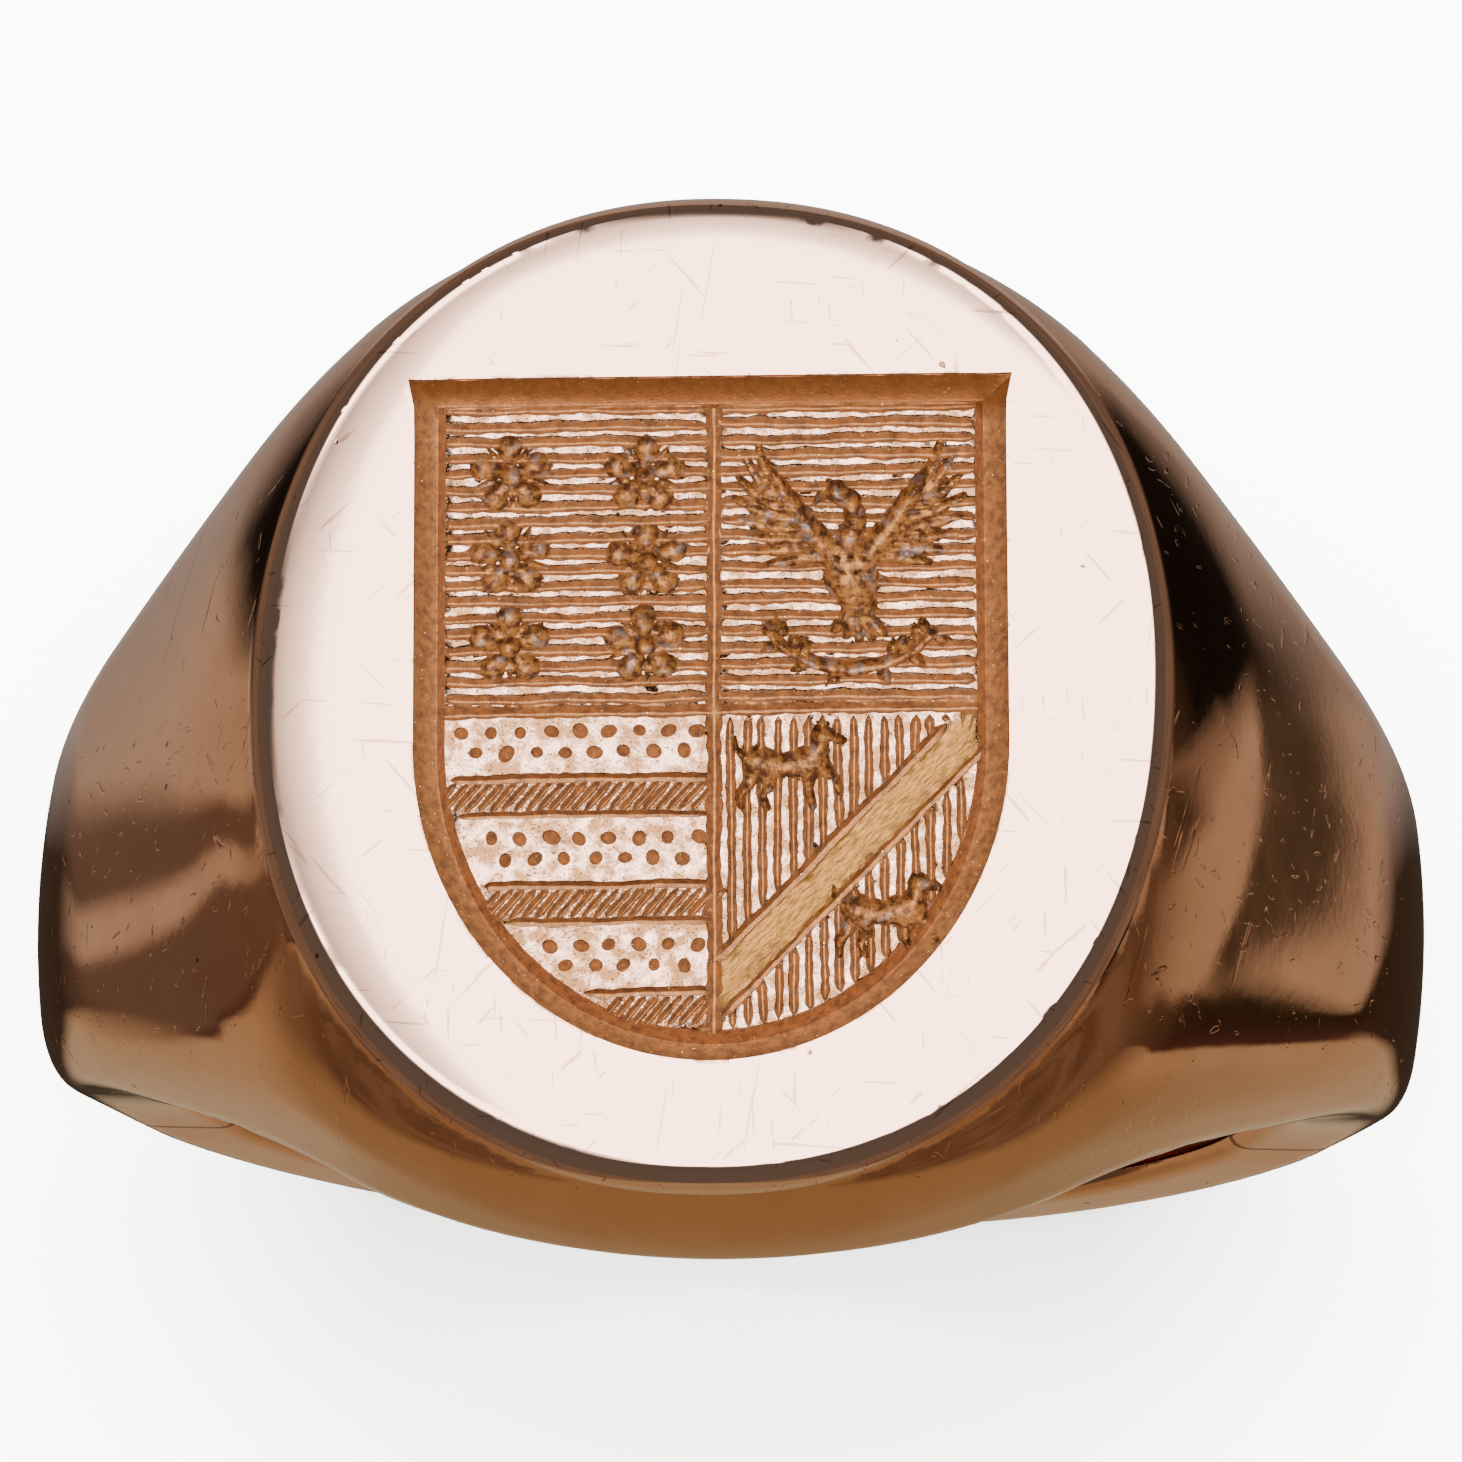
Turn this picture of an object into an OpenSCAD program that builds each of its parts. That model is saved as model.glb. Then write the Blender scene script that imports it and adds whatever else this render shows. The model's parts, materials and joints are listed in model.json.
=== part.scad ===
// Signet ring: oval table with an engraved shield, tapering shoulders and a narrow back.
// The finger hole runs along Y and is centred on the origin. The table faces +Z. Millimetres.

/* [Finger hole and band] */
// Diameter of the finger hole
bore_d = 18.6; // [17:0.1:20.5]
// Wall of the band at the sides of the finger
side_wall = 2.1; // [1.7:0.1:2.4]
// Wall of the band at the back of the finger
back_wall = 1.7; // [1.4:0.1:2.0]
// Width of the band at the back
back_w = 3.4; // [2.6:0.1:4]
// Width of the band where the shank joins the shoulders
joint_w = 4.2; // [3.6:0.1:4.8]
// Radius of the crown across the band and the shoulders
crown_r = 14; // [11:0.5:18]

/* [Head and shoulders] */
// Height of the table above the centre of the finger hole
table_z = 12.3; // [11.9:0.1:12.7]
// Length of the head along the finger
head_l = 17.3; // [16.6:0.1:18]
// Radius of the rounded ends of the head seen from above
head_end_r = 9.6; // [9:0.25:12]
// Angle of the shoulder sides seen from above
shoulder_angle = 37; // [34:0.5:38]
// Distance below the centre of the finger hole where the shank is joined on
joint_drop = 4.2; // [3:0.1:5]
// Distance below the centre where the sides start to flare out
flare_drop = 5; // [4.4:0.1:5.6]
// How fast the sides flare out above that height
flare_rate = 0.032; // [0.026:0.001:0.036]
// Steepness of the top of the shoulders, falling away round the rim of the table
skirt_angle = 55; // [35:1:60]

/* [Table] */
// Width of the table across the finger, with its rim
table_w = 14.5; // [13.8:0.1:14.8]
// Length of the table along the finger, with its rim
table_l = 16.5; // [15.6:0.1:16.6]
// Squareness of the oval, where 2 is a plain ellipse
oval_power = 2.15; // [2:0.05:2.4]
// Thickness of the table plate
plate_t = 0.6; // [0.5:0.05:0.9]
// Width of the bevel round the rim of the table
rim_bevel = 0.35; // [0.15:0.05:0.4]

/* [Solder] */
// Thickness of the solder under the table plate
face_solder_t = 0.08; // [0.05:0.01:0.12]
// Thickness of the solder in the two joints of the shank
shank_solder_t = 0.1; // [0.06:0.01:0.15]

/* [Shield] */
// Width of the shield
shield_w = 9.3; // [8:0.1:9.5]
// Height of the shield
shield_h = 11.2; // [10:0.1:11.4]
// Height of the top edge of the shield above the middle of the table
shield_top = 5.1; // [4.7:0.1:5.3]
// Width of the channel round the shield
border_w = 0.5; // [0.4:0.05:0.6]
// Depth of the channel round the shield
border_depth = 0.3; // [0.2:0.02:0.4]
// Width of the dividing lines
line_w = 0.18; // [0.12:0.01:0.25]
// Depth of the dividing lines
line_depth = 0.16; // [0.08:0.02:0.25]
// Height of the cross line above the middle of the table
cross_y = -0.5; // [-0.8:0.05:0]

/* [Charges] */
// Depth of the charges
charge_depth = 0.26; // [0.15:0.01:0.35]
// Width of each rose
rose_d = 1.3; // [1:0.05:1.4]
// Distance between the two columns of roses
rose_gap_x = 2.1; // [1.8:0.05:2.2]
// Distance between the rows of roses
rose_gap_y = 1.42; // [1.41:0.01:1.5]
// Width of each bar
bar_w = 0.6; // [0.5:0.02:0.65]
// Distance between the bars
bar_gap = 1.76; // [1.5:0.02:1.8]
// Width of the bend
bend_w = 0.62; // [0.5:0.02:0.75]

/* [Hidden] */
$fn = 96;
eps = 0.01;
bore_r = bore_d / 2;
side_r = bore_r + side_wall;
rim_a = table_w / 2;
rim_b = table_l / 2;
seat_z = table_z - plate_t - face_solder_t;
// the shoulder runs straight from the seat of the plate and touches the round of the band here
rim_reach = sqrt(rim_a * rim_a + seat_z * seat_z);
touch_angle = atan2(rim_a, seat_z) + acos(side_r / rim_reach);
// the back of the band is a slightly larger round, raised so that both meet at the joint
back_r0 = bore_r + back_wall;
joint_x2 = side_r * side_r - joint_drop * joint_drop;
back_rise = (joint_x2 - back_r0 * back_r0 + joint_drop * joint_drop) / (2 * (back_r0 - joint_drop));
back_r = back_r0 + back_rise;
// sizes of the shield
half_w = shield_w / 2;
side_end = shield_top - shield_h * 0.54;
inner_w = half_w - border_w;
inner_top = shield_top - border_w;
steps = 48;

// one point of the oval, with half sizes a and b
function oval_point(t, a, b) = [
  a * sign(cos(t)) * pow(abs(cos(t)), 2 / oval_power),
  b * sign(sin(t)) * pow(abs(sin(t)), 2 / oval_power)
];

// outline of the oval
function oval(a, b, n = 96) = [for (i = [0:n - 1]) oval_point(360 * (i + 0.5) / n, a, b)];

// half width of the band along Y at a height z, as the sides taper and flare
function side_half(z) = z < -flare_drop
  ? joint_w / 2 - (joint_w - back_w) / 2 * (-flare_drop - z) / (back_r - flare_drop)
  : joint_w / 2 + flare_rate * pow(z + flare_drop, 2);

// one quarter of the outline from above: a round end, then a straight side
function plan_quarter(n = 16) = concat(
  [for (i = [0:n]) let (t = shoulder_angle * i / n)
    [head_end_r * sin(t), head_l / 2 - head_end_r * (1 - cos(t))]],
  [let (x0 = head_end_r * sin(shoulder_angle), y0 = head_l / 2 - head_end_r * (1 - cos(shoulder_angle)))
    [side_r + 1, y0 - (side_r + 1 - x0) * tan(shoulder_angle)]]
);

// turns a list of points the other way round
function reversed(p) = [for (i = [len(p) - 1:-1:0]) p[i]];

// whole outline from above
function plan_outline() = let (q = plan_quarter()) concat(
  q,
  [for (p = reversed(q)) [p[0], -p[1]]],
  [for (p = q) [-p[0], -p[1]]],
  [for (p = reversed(q)) [-p[0], p[1]]]
);

// faces of a closed body made of three rings of n points, from the lowest to the highest
function rings_to_faces(n) = concat(
  [[for (i = [0:n - 1]) i]],
  [for (k = [0:1]) for (i = [0:n - 1])
    [k * n + i, k * n + n + i, k * n + n + (i + 1) % n, k * n + (i + 1) % n]],
  [[for (i = [n - 1:-1:0]) 2 * n + i]]
);

// solid that fills the band and the shoulders from above
module plan_body() {
  translate([0, 0, -side_r - 2])
    linear_extrude(2 * side_r + 8)
      polygon(plan_outline());
}

// solid that gives the taper of the sides, seen along X
module taper_body() {
  top = table_z + 1;
  z_list = [for (i = [0:steps]) -side_r - 1 + (top + side_r + 1) * i / steps];
  rotate([90, 0, 90])
    translate([0, 0, -side_r - 2])
      linear_extrude(2 * side_r + 4)
        polygon(concat(
          [for (z = z_list) [side_half(z), z]],
          [for (z = reversed(z_list)) [-side_half(z), z]]
        ));
}

// crowned round of the band about the finger hole, with radius r on its middle line
module crowned_round(r) {
  rotate([-90, 0, 0])
    rotate_extrude($fn = 180)
      intersection() {
        translate([r - crown_r, 0])
          circle(r = crown_r, $fn = 180);
        translate([0, -head_l])
          square([2 * crown_r, 2 * head_l]);
      }
}

// crowned straight side of one shoulder
module crowned_side(side) {
  reach = side_r - crown_r;
  translate([side * reach * sin(touch_angle), 0, reach * cos(touch_angle)])
    rotate([0, side * (touch_angle + 90), 0])
      cylinder(r = crown_r, h = 80, center = true, $fn = 180);
}

// space above the two lines where the shoulders touch the round
module upper_wedge() {
  far = 30;
  rotate([90, 0, 0])
    linear_extrude(60, center = true)
      polygon([
        [0, 0],
        [far * sin(touch_angle), far * cos(touch_angle)],
        [far * sin(touch_angle), far],
        [-far * sin(touch_angle), far],
        [-far * sin(touch_angle), far * cos(touch_angle)]
      ]);
}

// outer form of the shoulders and the upper band
module outer_body() {
  intersection() {
    upper_wedge();
    crowned_side(1);
    crowned_side(-1);
  }
  difference() {
    crowned_round(side_r);
    upper_wedge();
  }
}

// body whose top is the oval seat and whose sides fall away from it
module skirt_body() {
  n = 96;
  drop = 6;
  spread = drop / tan(skirt_angle);
  high = oval(rim_a, rim_b, n);
  low = oval(rim_a + spread, rim_b + spread, n);
  polyhedron(
    points = concat(
      [for (p = low) [p[0], p[1], -side_r - 2]],
      [for (p = low) [p[0], p[1], seat_z - drop]],
      [for (p = high) [p[0], p[1], seat_z]]
    ),
    faces = rings_to_faces(n)
  );
}

// finger hole
module bore() {
  rotate([90, 0, 0])
    cylinder(r = bore_r, h = 2 * head_l, center = true, $fn = 180);
}

// block that keeps heights from z0 to z1 and widths from x0 to x1
module level_block(z0, z1, x0 = -20, x1 = 20) {
  translate([x0, -20, z0])
    cube([x1 - x0, 40, z1 - z0]);
}

// head and both shoulders in one piece
module head() {
  color("#c08a6c")
    difference() {
      intersection() {
        outer_body();
        plan_body();
        taper_body();
        skirt_body();
        level_block(-joint_drop, seat_z);
      }
      bore();
    }
}

// narrow back of the band
module shank() {
  color("#c08a6c")
    difference() {
      intersection() {
        translate([0, 0, back_rise])
          crowned_round(back_r);
        taper_body();
        level_block(-30, -joint_drop - shank_solder_t);
      }
      bore();
    }
}

// solder film in one joint of the shank
module shank_solder(side) {
  color("#d9b39a")
    difference() {
      intersection() {
        crowned_round(side_r);
        taper_body();
        level_block(-joint_drop - shank_solder_t, -joint_drop,
                    side > 0 ? 1 : -20, side > 0 ? 20 : -1);
      }
      bore();
    }
}

// solder layer between the head and the table plate
module face_solder() {
  color("#d9b39a")
    translate([0, 0, seat_z])
      linear_extrude(face_solder_t)
        polygon(oval(rim_a - 0.05, rim_b - 0.05));
}

// plain oval plate with a bevelled rim
module plate_blank() {
  n = 96;
  low = oval(rim_a, rim_b, n);
  high = oval(rim_a - rim_bevel, rim_b - rim_bevel, n);
  bottom = table_z - plate_t;
  polyhedron(
    points = concat(
      [for (p = low) [p[0], p[1], bottom]],
      [for (p = low) [p[0], p[1], table_z - rim_bevel]],
      [for (p = high) [p[0], p[1], table_z]]
    ),
    faces = rings_to_faces(n)
  );
}

// outline of the shield, moved inwards by a margin
function shield_outline(margin, n = 32) = let (
  a = half_w - margin,
  b = shield_h - (shield_top - side_end) - margin
) concat(
  [[a, shield_top - margin]],
  [for (i = [0:n]) let (t = 180 * i / n) [a * cos(t), side_end - b * sin(t)]],
  [[-a, shield_top - margin]]
);

// cut of a flat outline to a given depth below the table
module sunk(depth) {
  translate([0, 0, table_z - depth])
    linear_extrude(depth + 1)
      children();
}

// channel round the shield
module border_cut() {
  sunk(border_depth)
    difference() {
      polygon(shield_outline(0));
      polygon(shield_outline(border_w));
    }
}

// upright and cross lines that quarter the shield
module quarter_lines() {
  sunk(line_depth)
    intersection() {
      polygon(shield_outline(border_w / 2));
      union() {
        translate([-line_w / 2, shield_top - shield_h])
          square([line_w, shield_h]);
        translate([-half_w, cross_y - line_w / 2])
          square([shield_w, line_w]);
      }
    }
}

// one five-petalled rose
module rose_cut() {
  petal_r = rose_d * 0.22;
  for (i = [0:4])
    rotate(90 + 72 * i)
      translate([rose_d / 2 - petal_r, 0])
        circle(r = petal_r, $fn = 24);
  circle(r = rose_d * 0.2, $fn = 24);
}

// six roses in the first quarter
module roses() {
  mid_x = -inner_w / 2;
  mid_y = (inner_top + cross_y) / 2;
  sunk(charge_depth)
    for (ix = [-0.5, 0.5], iy = [-1:1])
      translate([mid_x + ix * rose_gap_x, mid_y + iy * rose_gap_y])
        rose_cut();
}

// bird rising with spread wings in the second quarter
module bird() {
  sunk(charge_depth)
    translate([inner_w / 2 + 0.05, (inner_top + cross_y) / 2])
      polygon([
        [0.0, -1.75], [0.35, -1.55], [0.25, -1.1], [0.5, -0.7], [0.85, -0.75], [1.2, -0.45],
        [1.1, -0.1], [1.5, 0.25], [1.45, 0.65], [1.7, 1.1], [1.6, 1.75], [1.3, 1.55],
        [0.95, 1.0], [0.55, 0.55], [0.35, 0.6], [0.32, 1.05], [0.1, 1.35], [-0.25, 1.3],
        [-0.55, 1.1], [-0.25, 1.05], [-0.15, 0.75], [-0.3, 0.5], [-0.6, 0.6], [-1.0, 1.1],
        [-1.35, 1.6], [-1.65, 1.75], [-1.7, 1.1], [-1.45, 0.6], [-1.5, 0.2], [-1.15, -0.1],
        [-1.2, -0.5], [-0.8, -0.75], [-0.45, -0.7], [-0.25, -1.1], [-0.35, -1.55]
      ]);
}

// two grooves beside each bar in the third quarter
module bars() {
  first = cross_y - bar_w - 0.8;
  sunk(line_depth)
    intersection() {
      polygon(shield_outline(border_w / 2));
      for (k = [0:2], s = [-0.5, 0.5])
        translate([-half_w, first - k * bar_gap + s * bar_w - line_w / 2])
          square([half_w, line_w]);
    }
}

// smooth bend across the fourth quarter
module bend() {
  sunk(line_depth + 0.04)
    intersection() {
      polygon(shield_outline(border_w / 2));
      translate([0, cross_y - 10])
        square([half_w, 10]);
      translate([2.2, -2.9])
        rotate(46.5)
          square([9, bend_w], center = true);
    }
}

// one running hound
module hound_shape() {
  polygon([
    [-0.85, 0.2], [-0.8, 0.32], [-0.62, 0.12], [-0.2, 0.1], [0.2, 0.14], [0.42, 0.35], [0.5, 0.62],
    [0.62, 0.5], [0.9, 0.42], [0.92, 0.3], [0.66, 0.24], [0.6, 0.02], [0.55, -0.12], [0.72, -0.3],
    [0.9, -0.5], [0.82, -0.56], [0.6, -0.38], [0.42, -0.24], [0.4, -0.7], [0.28, -0.7],
    [0.24, -0.2], [-0.1, -0.18], [-0.36, -0.22], [-0.4, -0.45], [-0.28, -0.72], [-0.42, -0.72],
    [-0.56, -0.45], [-0.6, -0.25], [-0.82, -0.5], [-0.92, -0.45], [-0.74, -0.12], [-0.72, 0.05]
  ]);
}

// two hounds in the fourth quarter
module hounds() {
  sunk(charge_depth)
    for (p = [[1.2, -1.5], [2.65, -4.0]])
      translate(p)
        hound_shape();
}

// table plate with the engraved shield
module face_plate() {
  color("#e0b8a6")
    difference() {
      plate_blank();
      border_cut();
      quarter_lines();
      roses();
      bird();
      bars();
      bend();
      hounds();
    }
}

face_plate();
face_solder();
head();
shank();
shank_solder(-1);  // shank_solder_left
shank_solder(1);  // shank_solder_right
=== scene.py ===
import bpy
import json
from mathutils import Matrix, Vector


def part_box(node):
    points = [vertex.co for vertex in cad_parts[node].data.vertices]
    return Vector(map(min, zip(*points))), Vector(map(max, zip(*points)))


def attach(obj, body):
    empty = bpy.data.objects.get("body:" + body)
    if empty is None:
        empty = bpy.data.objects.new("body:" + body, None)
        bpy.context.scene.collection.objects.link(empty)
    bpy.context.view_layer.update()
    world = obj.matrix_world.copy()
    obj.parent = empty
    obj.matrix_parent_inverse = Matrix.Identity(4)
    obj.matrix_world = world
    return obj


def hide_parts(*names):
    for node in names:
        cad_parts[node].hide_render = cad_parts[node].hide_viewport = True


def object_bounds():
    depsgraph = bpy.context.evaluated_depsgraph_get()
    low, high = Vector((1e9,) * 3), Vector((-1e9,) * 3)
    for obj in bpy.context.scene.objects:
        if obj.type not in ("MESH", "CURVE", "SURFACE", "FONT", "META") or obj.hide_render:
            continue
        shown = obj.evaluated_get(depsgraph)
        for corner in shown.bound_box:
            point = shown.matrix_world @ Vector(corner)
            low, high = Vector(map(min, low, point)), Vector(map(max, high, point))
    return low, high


bl_info = {
    "name": "Signet ring",
    "version": (1, 0, 0),
    "blender": (4, 5, 0),
    "location": "View3D > Sidebar > Ring",
    "description": "Builds a rose gold signet ring with an engraved shield, and a small studio round it",
    "category": "Add Mesh",
}

import json
import math
import random

import bpy
import numpy as np
from mathutils import Matrix, Vector, geometry

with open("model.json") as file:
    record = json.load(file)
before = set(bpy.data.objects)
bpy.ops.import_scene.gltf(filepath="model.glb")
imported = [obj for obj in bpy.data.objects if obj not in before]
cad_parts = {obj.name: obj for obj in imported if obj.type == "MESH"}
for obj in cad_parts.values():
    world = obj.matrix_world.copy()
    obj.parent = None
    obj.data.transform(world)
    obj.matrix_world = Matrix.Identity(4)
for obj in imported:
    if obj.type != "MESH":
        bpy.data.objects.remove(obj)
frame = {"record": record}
cad_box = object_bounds()
MM = 0.001

plate_low, plate_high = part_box("face_plate")
head_low, head_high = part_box("head")
shank_low, shank_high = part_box("shank")
solder_low, solder_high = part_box("face_solder")
bore_mount = next(m for m in frame["record"]["mounts"] if m["name"] == "finger_bore")

BORE_R = bore_mount["dims"]["r_mm"]
HEAD_HALF = bore_mount["dims"]["length_mm"] / 2
TABLE_Z = plate_high[2] / MM
PLATE_BOTTOM = plate_low[2] / MM
SEAT_Z = head_high[2] / MM
RIM_A = plate_high[0] / MM
RIM_B = plate_high[1] / MM
JOINT_TOP = head_low[2] / MM
JOINT_BOTTOM = shank_high[2] / MM
BACK_R = -shank_low[2] / MM


# ---------------------------------------------------------------- settings

class RingSizes(bpy.types.PropertyGroup):
    side_wall: bpy.props.FloatProperty(
        name="Side wall", description="Wall of the band at the sides of the finger, in mm", default=2.1)
    crown_r: bpy.props.FloatProperty(
        name="Crown", description="Radius of the crown across the band, in mm", default=14.0)
    end_r: bpy.props.FloatProperty(
        name="Head end radius", description="Radius of the ends of the head from above, in mm", default=9.6)
    shoulder_angle: bpy.props.FloatProperty(
        name="Shoulder angle", description="Angle of the shoulder sides seen from above",
        default=math.radians(37), subtype="ANGLE")
    joint_w: bpy.props.FloatProperty(
        name="Joint width", description="Width of the band at the joint of the shank, in mm", default=4.2)
    back_w: bpy.props.FloatProperty(
        name="Back width", description="Width of the band at the back, in mm", default=3.4)
    flare_drop: bpy.props.FloatProperty(
        name="Flare drop", description="Where the sides start to flare, in mm below centre", default=5.0)
    flare_rate: bpy.props.FloatProperty(
        name="Flare rate", description="How fast the sides flare out, per mm", default=0.032)
    soft_edge: bpy.props.FloatProperty(
        name="Soft edge", description="Softness of the polished edges of the shoulders, in mm", default=0.6)
    bore_edge: bpy.props.FloatProperty(
        name="Bore edge", description="Softness of the edges of the finger hole, in mm", default=0.35)
    skirt_angle: bpy.props.FloatProperty(
        name="Skirt angle", description="Fall of the metal round the rim of the table",
        default=math.radians(55), subtype="ANGLE")
    rim_bevel: bpy.props.FloatProperty(
        name="Rim bevel", description="Width of the bevel round the table, in mm", default=0.35)
    oval_power: bpy.props.FloatProperty(
        name="Oval power", description="Squareness of the oval, where 2 is a plain ellipse", default=2.15)


class ShieldSizes(bpy.types.PropertyGroup):
    width: bpy.props.FloatProperty(name="Width", description="Width of the shield, in mm", default=9.3)
    height: bpy.props.FloatProperty(name="Height", description="Height of the shield, in mm", default=11.35)
    top: bpy.props.FloatProperty(
        name="Top", description="Top edge above the middle of the table, in mm", default=5.1)
    cross_y: bpy.props.FloatProperty(
        name="Cross line", description="Height of the cross line, in mm", default=-0.5)
    border_w: bpy.props.FloatProperty(
        name="Border width", description="Width of the channel round the shield, in mm", default=0.5)
    border_depth: bpy.props.FloatProperty(
        name="Border depth", description="Depth of the channel round the shield, in mm", default=0.3)
    hatch_pitch: bpy.props.FloatProperty(
        name="Hatch pitch", description="Distance between the level cut lines, in mm", default=0.268)
    pale_pitch: bpy.props.FloatProperty(
        name="Upright pitch", description="Distance between the upright cut lines, in mm", default=0.238)
    dot_pitch: bpy.props.FloatProperty(
        name="Dot pitch", description="Distance between the dots of a row, in mm", default=0.46)
    turn: bpy.props.FloatProperty(
        name="Turn", description="How far the shield is turned on the table",
        default=math.radians(1.9), subtype="ANGLE")


class RingFinish(bpy.types.PropertyGroup):
    table: bpy.props.StringProperty(
        name="Table", description="Colour of the polished table, as sRGB hex", default="E8B89F")
    # painted shade: the colour of the cuts is dark, standing in for the shade of their walls
    groove: bpy.props.StringProperty(
        name="Cut", description="Colour of the engraved cuts, as sRGB hex", default="885832")
    # painted shade: the band is a darker copy of the table's same gold, for its shaded shoulders
    band: bpy.props.StringProperty(
        name="Band", description="Colour of the band, as sRGB hex", default="D6A07C")
    solder: bpy.props.StringProperty(
        name="Solder", description="Colour of the solder, as sRGB hex", default="A87A62")


# ---------------------------------------------------------------- small helpers

def linear(hex_colour):
    """Linear colour of an sRGB hex value."""
    parts = [int(hex_colour[i:i + 2], 16) / 255 for i in (0, 2, 4)]
    return [c / 12.92 if c <= 0.04045 else ((c + 0.055) / 1.055) ** 2.4 for c in parts] + [1.0]


def add_node(tree, kind, inputs=None, stops=(), **settings):
    """A node with its settings and inputs. An input is a value, a socket to link from, or a node, which is
    linked from its first output in use. Stops fill a colour ramp, in rising order."""
    made = tree.nodes.new("ShaderNode" + kind)
    for key, value in settings.items():
        setattr(made, key, value)
    for key, value in (inputs or {}).items():
        if isinstance(value, bpy.types.Node):
            value = next(output for output in value.outputs if output.enabled)
        if isinstance(value, bpy.types.NodeSocket):
            tree.links.new(value, made.inputs[key])
        else:
            made.inputs[key].default_value = value
    for k, (at, colour) in enumerate(stops):
        element = made.color_ramp.elements[k] if k < 2 else made.color_ramp.elements.new(at)
        element.position, element.color = at, colour
    return made


def new_material(name):
    """A node material with nothing in it yet, and its node tree."""
    material = bpy.data.materials.new(name)
    material.use_nodes = True
    material.node_tree.nodes.clear()
    return material, material.node_tree


def only(piece=None):
    """Makes one object the selected and active one, or deselects everything."""
    bpy.ops.object.select_all(action="DESELECT")
    if piece:
        piece.select_set(True)
        bpy.context.view_layer.objects.active = piece


def twin(piece):
    """A copy of a piece, with its own mesh."""
    made = piece.copy()
    made.data = piece.data.copy()
    bpy.context.scene.collection.objects.link(made)
    return made


def edit_whole(piece, operator, **settings):
    """Runs one edit-mode operator over the whole of a piece."""
    only(piece)
    bpy.ops.object.mode_set(mode="EDIT")
    bpy.ops.mesh.select_all(action="SELECT")
    operator(**settings)
    bpy.ops.object.mode_set(mode="OBJECT")


def cut_level(piece, z, keep_above):
    """Cuts a closed piece at a height and closes the cut."""
    edit_whole(piece, bpy.ops.mesh.bisect, plane_co=(0, 0, z), plane_no=(0, 0, 1), use_fill=True,
               clear_inner=keep_above, clear_outer=not keep_above, threshold=1e-5)


# ---------------------------------------------------------------- form of the band

SHOULDER_OUT = 0.1    # mm, how far outside the rim the straight shoulder starts
SIDE_BLEND = 0.4      # mm, softness where the end of the head meets the tapering side
SKIRT_BLEND = 0.5     # mm, softness of the top of the skirt
SKIRT_UNDER = 0.1     # mm, how far the skirt starts under the edge of the plate
SPARE_TOP = 0.6       # mm of metal over the table, cut off later at the seat
STATIONS = 256        # sections round the finger
CROWN_POINTS, FAN_POINTS, BORE_POINTS = 80, 40, 24    # points of a section: crown, each edge, bore


def soft_max(a, b, k):
    """The larger of two fields, with a soft edge of about k where they meet."""
    h = np.maximum(k - np.abs(a - b), 0) / k
    return np.maximum(a, b) + h * h * k * 0.25


def oval_gap(x, y, a, b, power):
    """How far a point lies outside the oval, measured from the middle."""
    k = ((np.abs(x) / a) ** power + (np.abs(y) / b) ** power) ** (1 / power)
    return np.hypot(x, y) * (1 - 1 / np.maximum(k, 1e-6))


def side_half(z, s):
    """Half width of the band at a height, as its sides taper and flare."""
    low = s.joint_w / 2 - (s.joint_w - s.back_w) / 2 * (-s.flare_drop - z) / (BACK_R - s.flare_drop)
    high = s.joint_w / 2 + s.flare_rate * (z + s.flare_drop) ** 2
    return np.where(z < -s.flare_drop, low, high)


def plan_half(x, s):
    """Half length of the head seen from above, at a distance from the middle."""
    turn_x = s.end_r * math.sin(s.shoulder_angle)
    turn_y = HEAD_HALF - s.end_r * (1 - math.cos(s.shoulder_angle))
    round_end = HEAD_HALF - s.end_r + np.sqrt(np.maximum(s.end_r ** 2 - x ** 2, 0.01))
    return np.where(x < turn_x, round_end, turn_y - (x - turn_x) * math.tan(s.shoulder_angle))


def band_field(x, y, z, s):
    """Field that is negative inside the metal of the band."""
    x, y = np.abs(x), np.abs(y)
    side_r = BORE_R + s.side_wall
    # a straight shoulder runs from beside the seat to where it touches the round of the band
    shoulder_x = RIM_A + SHOULDER_OUT
    touch = math.atan2(shoulder_x, SEAT_Z) + math.acos(side_r / math.hypot(shoulder_x, SEAT_Z))
    radius = np.hypot(x, z)
    straight = x * math.sin(touch) + z * math.cos(touch)
    out = np.where(np.arctan2(x, z) < touch, straight, radius)
    # the back is a little thinner than the sides
    thin = np.clip((-z - 1) / 8, 0, 1)
    out = out - (BACK_R - side_r) * thin * thin * (3 - 2 * thin)
    outer = np.hypot(y, np.maximum(out - (side_r - s.crown_r), 0)) - s.crown_r
    slope = np.where(x < s.end_r * math.sin(s.shoulder_angle), 0.5, math.tan(s.shoulder_angle))
    plan = (y - plan_half(x, s)) / np.sqrt(1 + slope ** 2)
    flare = np.where(z < -s.flare_drop, 0.05, 2 * s.flare_rate * (z + s.flare_drop))
    taper = (y - side_half(z, s)) / np.sqrt(1 + flare ** 2)
    sides = soft_max(plan, taper, SIDE_BLEND)
    # the skirt starts a little under the edge of the plate
    gap = oval_gap(x, y, RIM_A, RIM_B, s.oval_power) + SKIRT_UNDER
    fall = (z - SEAT_Z + gap * math.tan(s.skirt_angle)) * math.cos(s.skirt_angle)
    body = soft_max(outer, sides, s.soft_edge)
    body = soft_max(body, np.minimum(gap, fall), SKIRT_BLEND)
    body = np.maximum(body, z - TABLE_Z - SPARE_TOP)
    return soft_max(body, BORE_R - radius, s.bore_edge)


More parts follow.
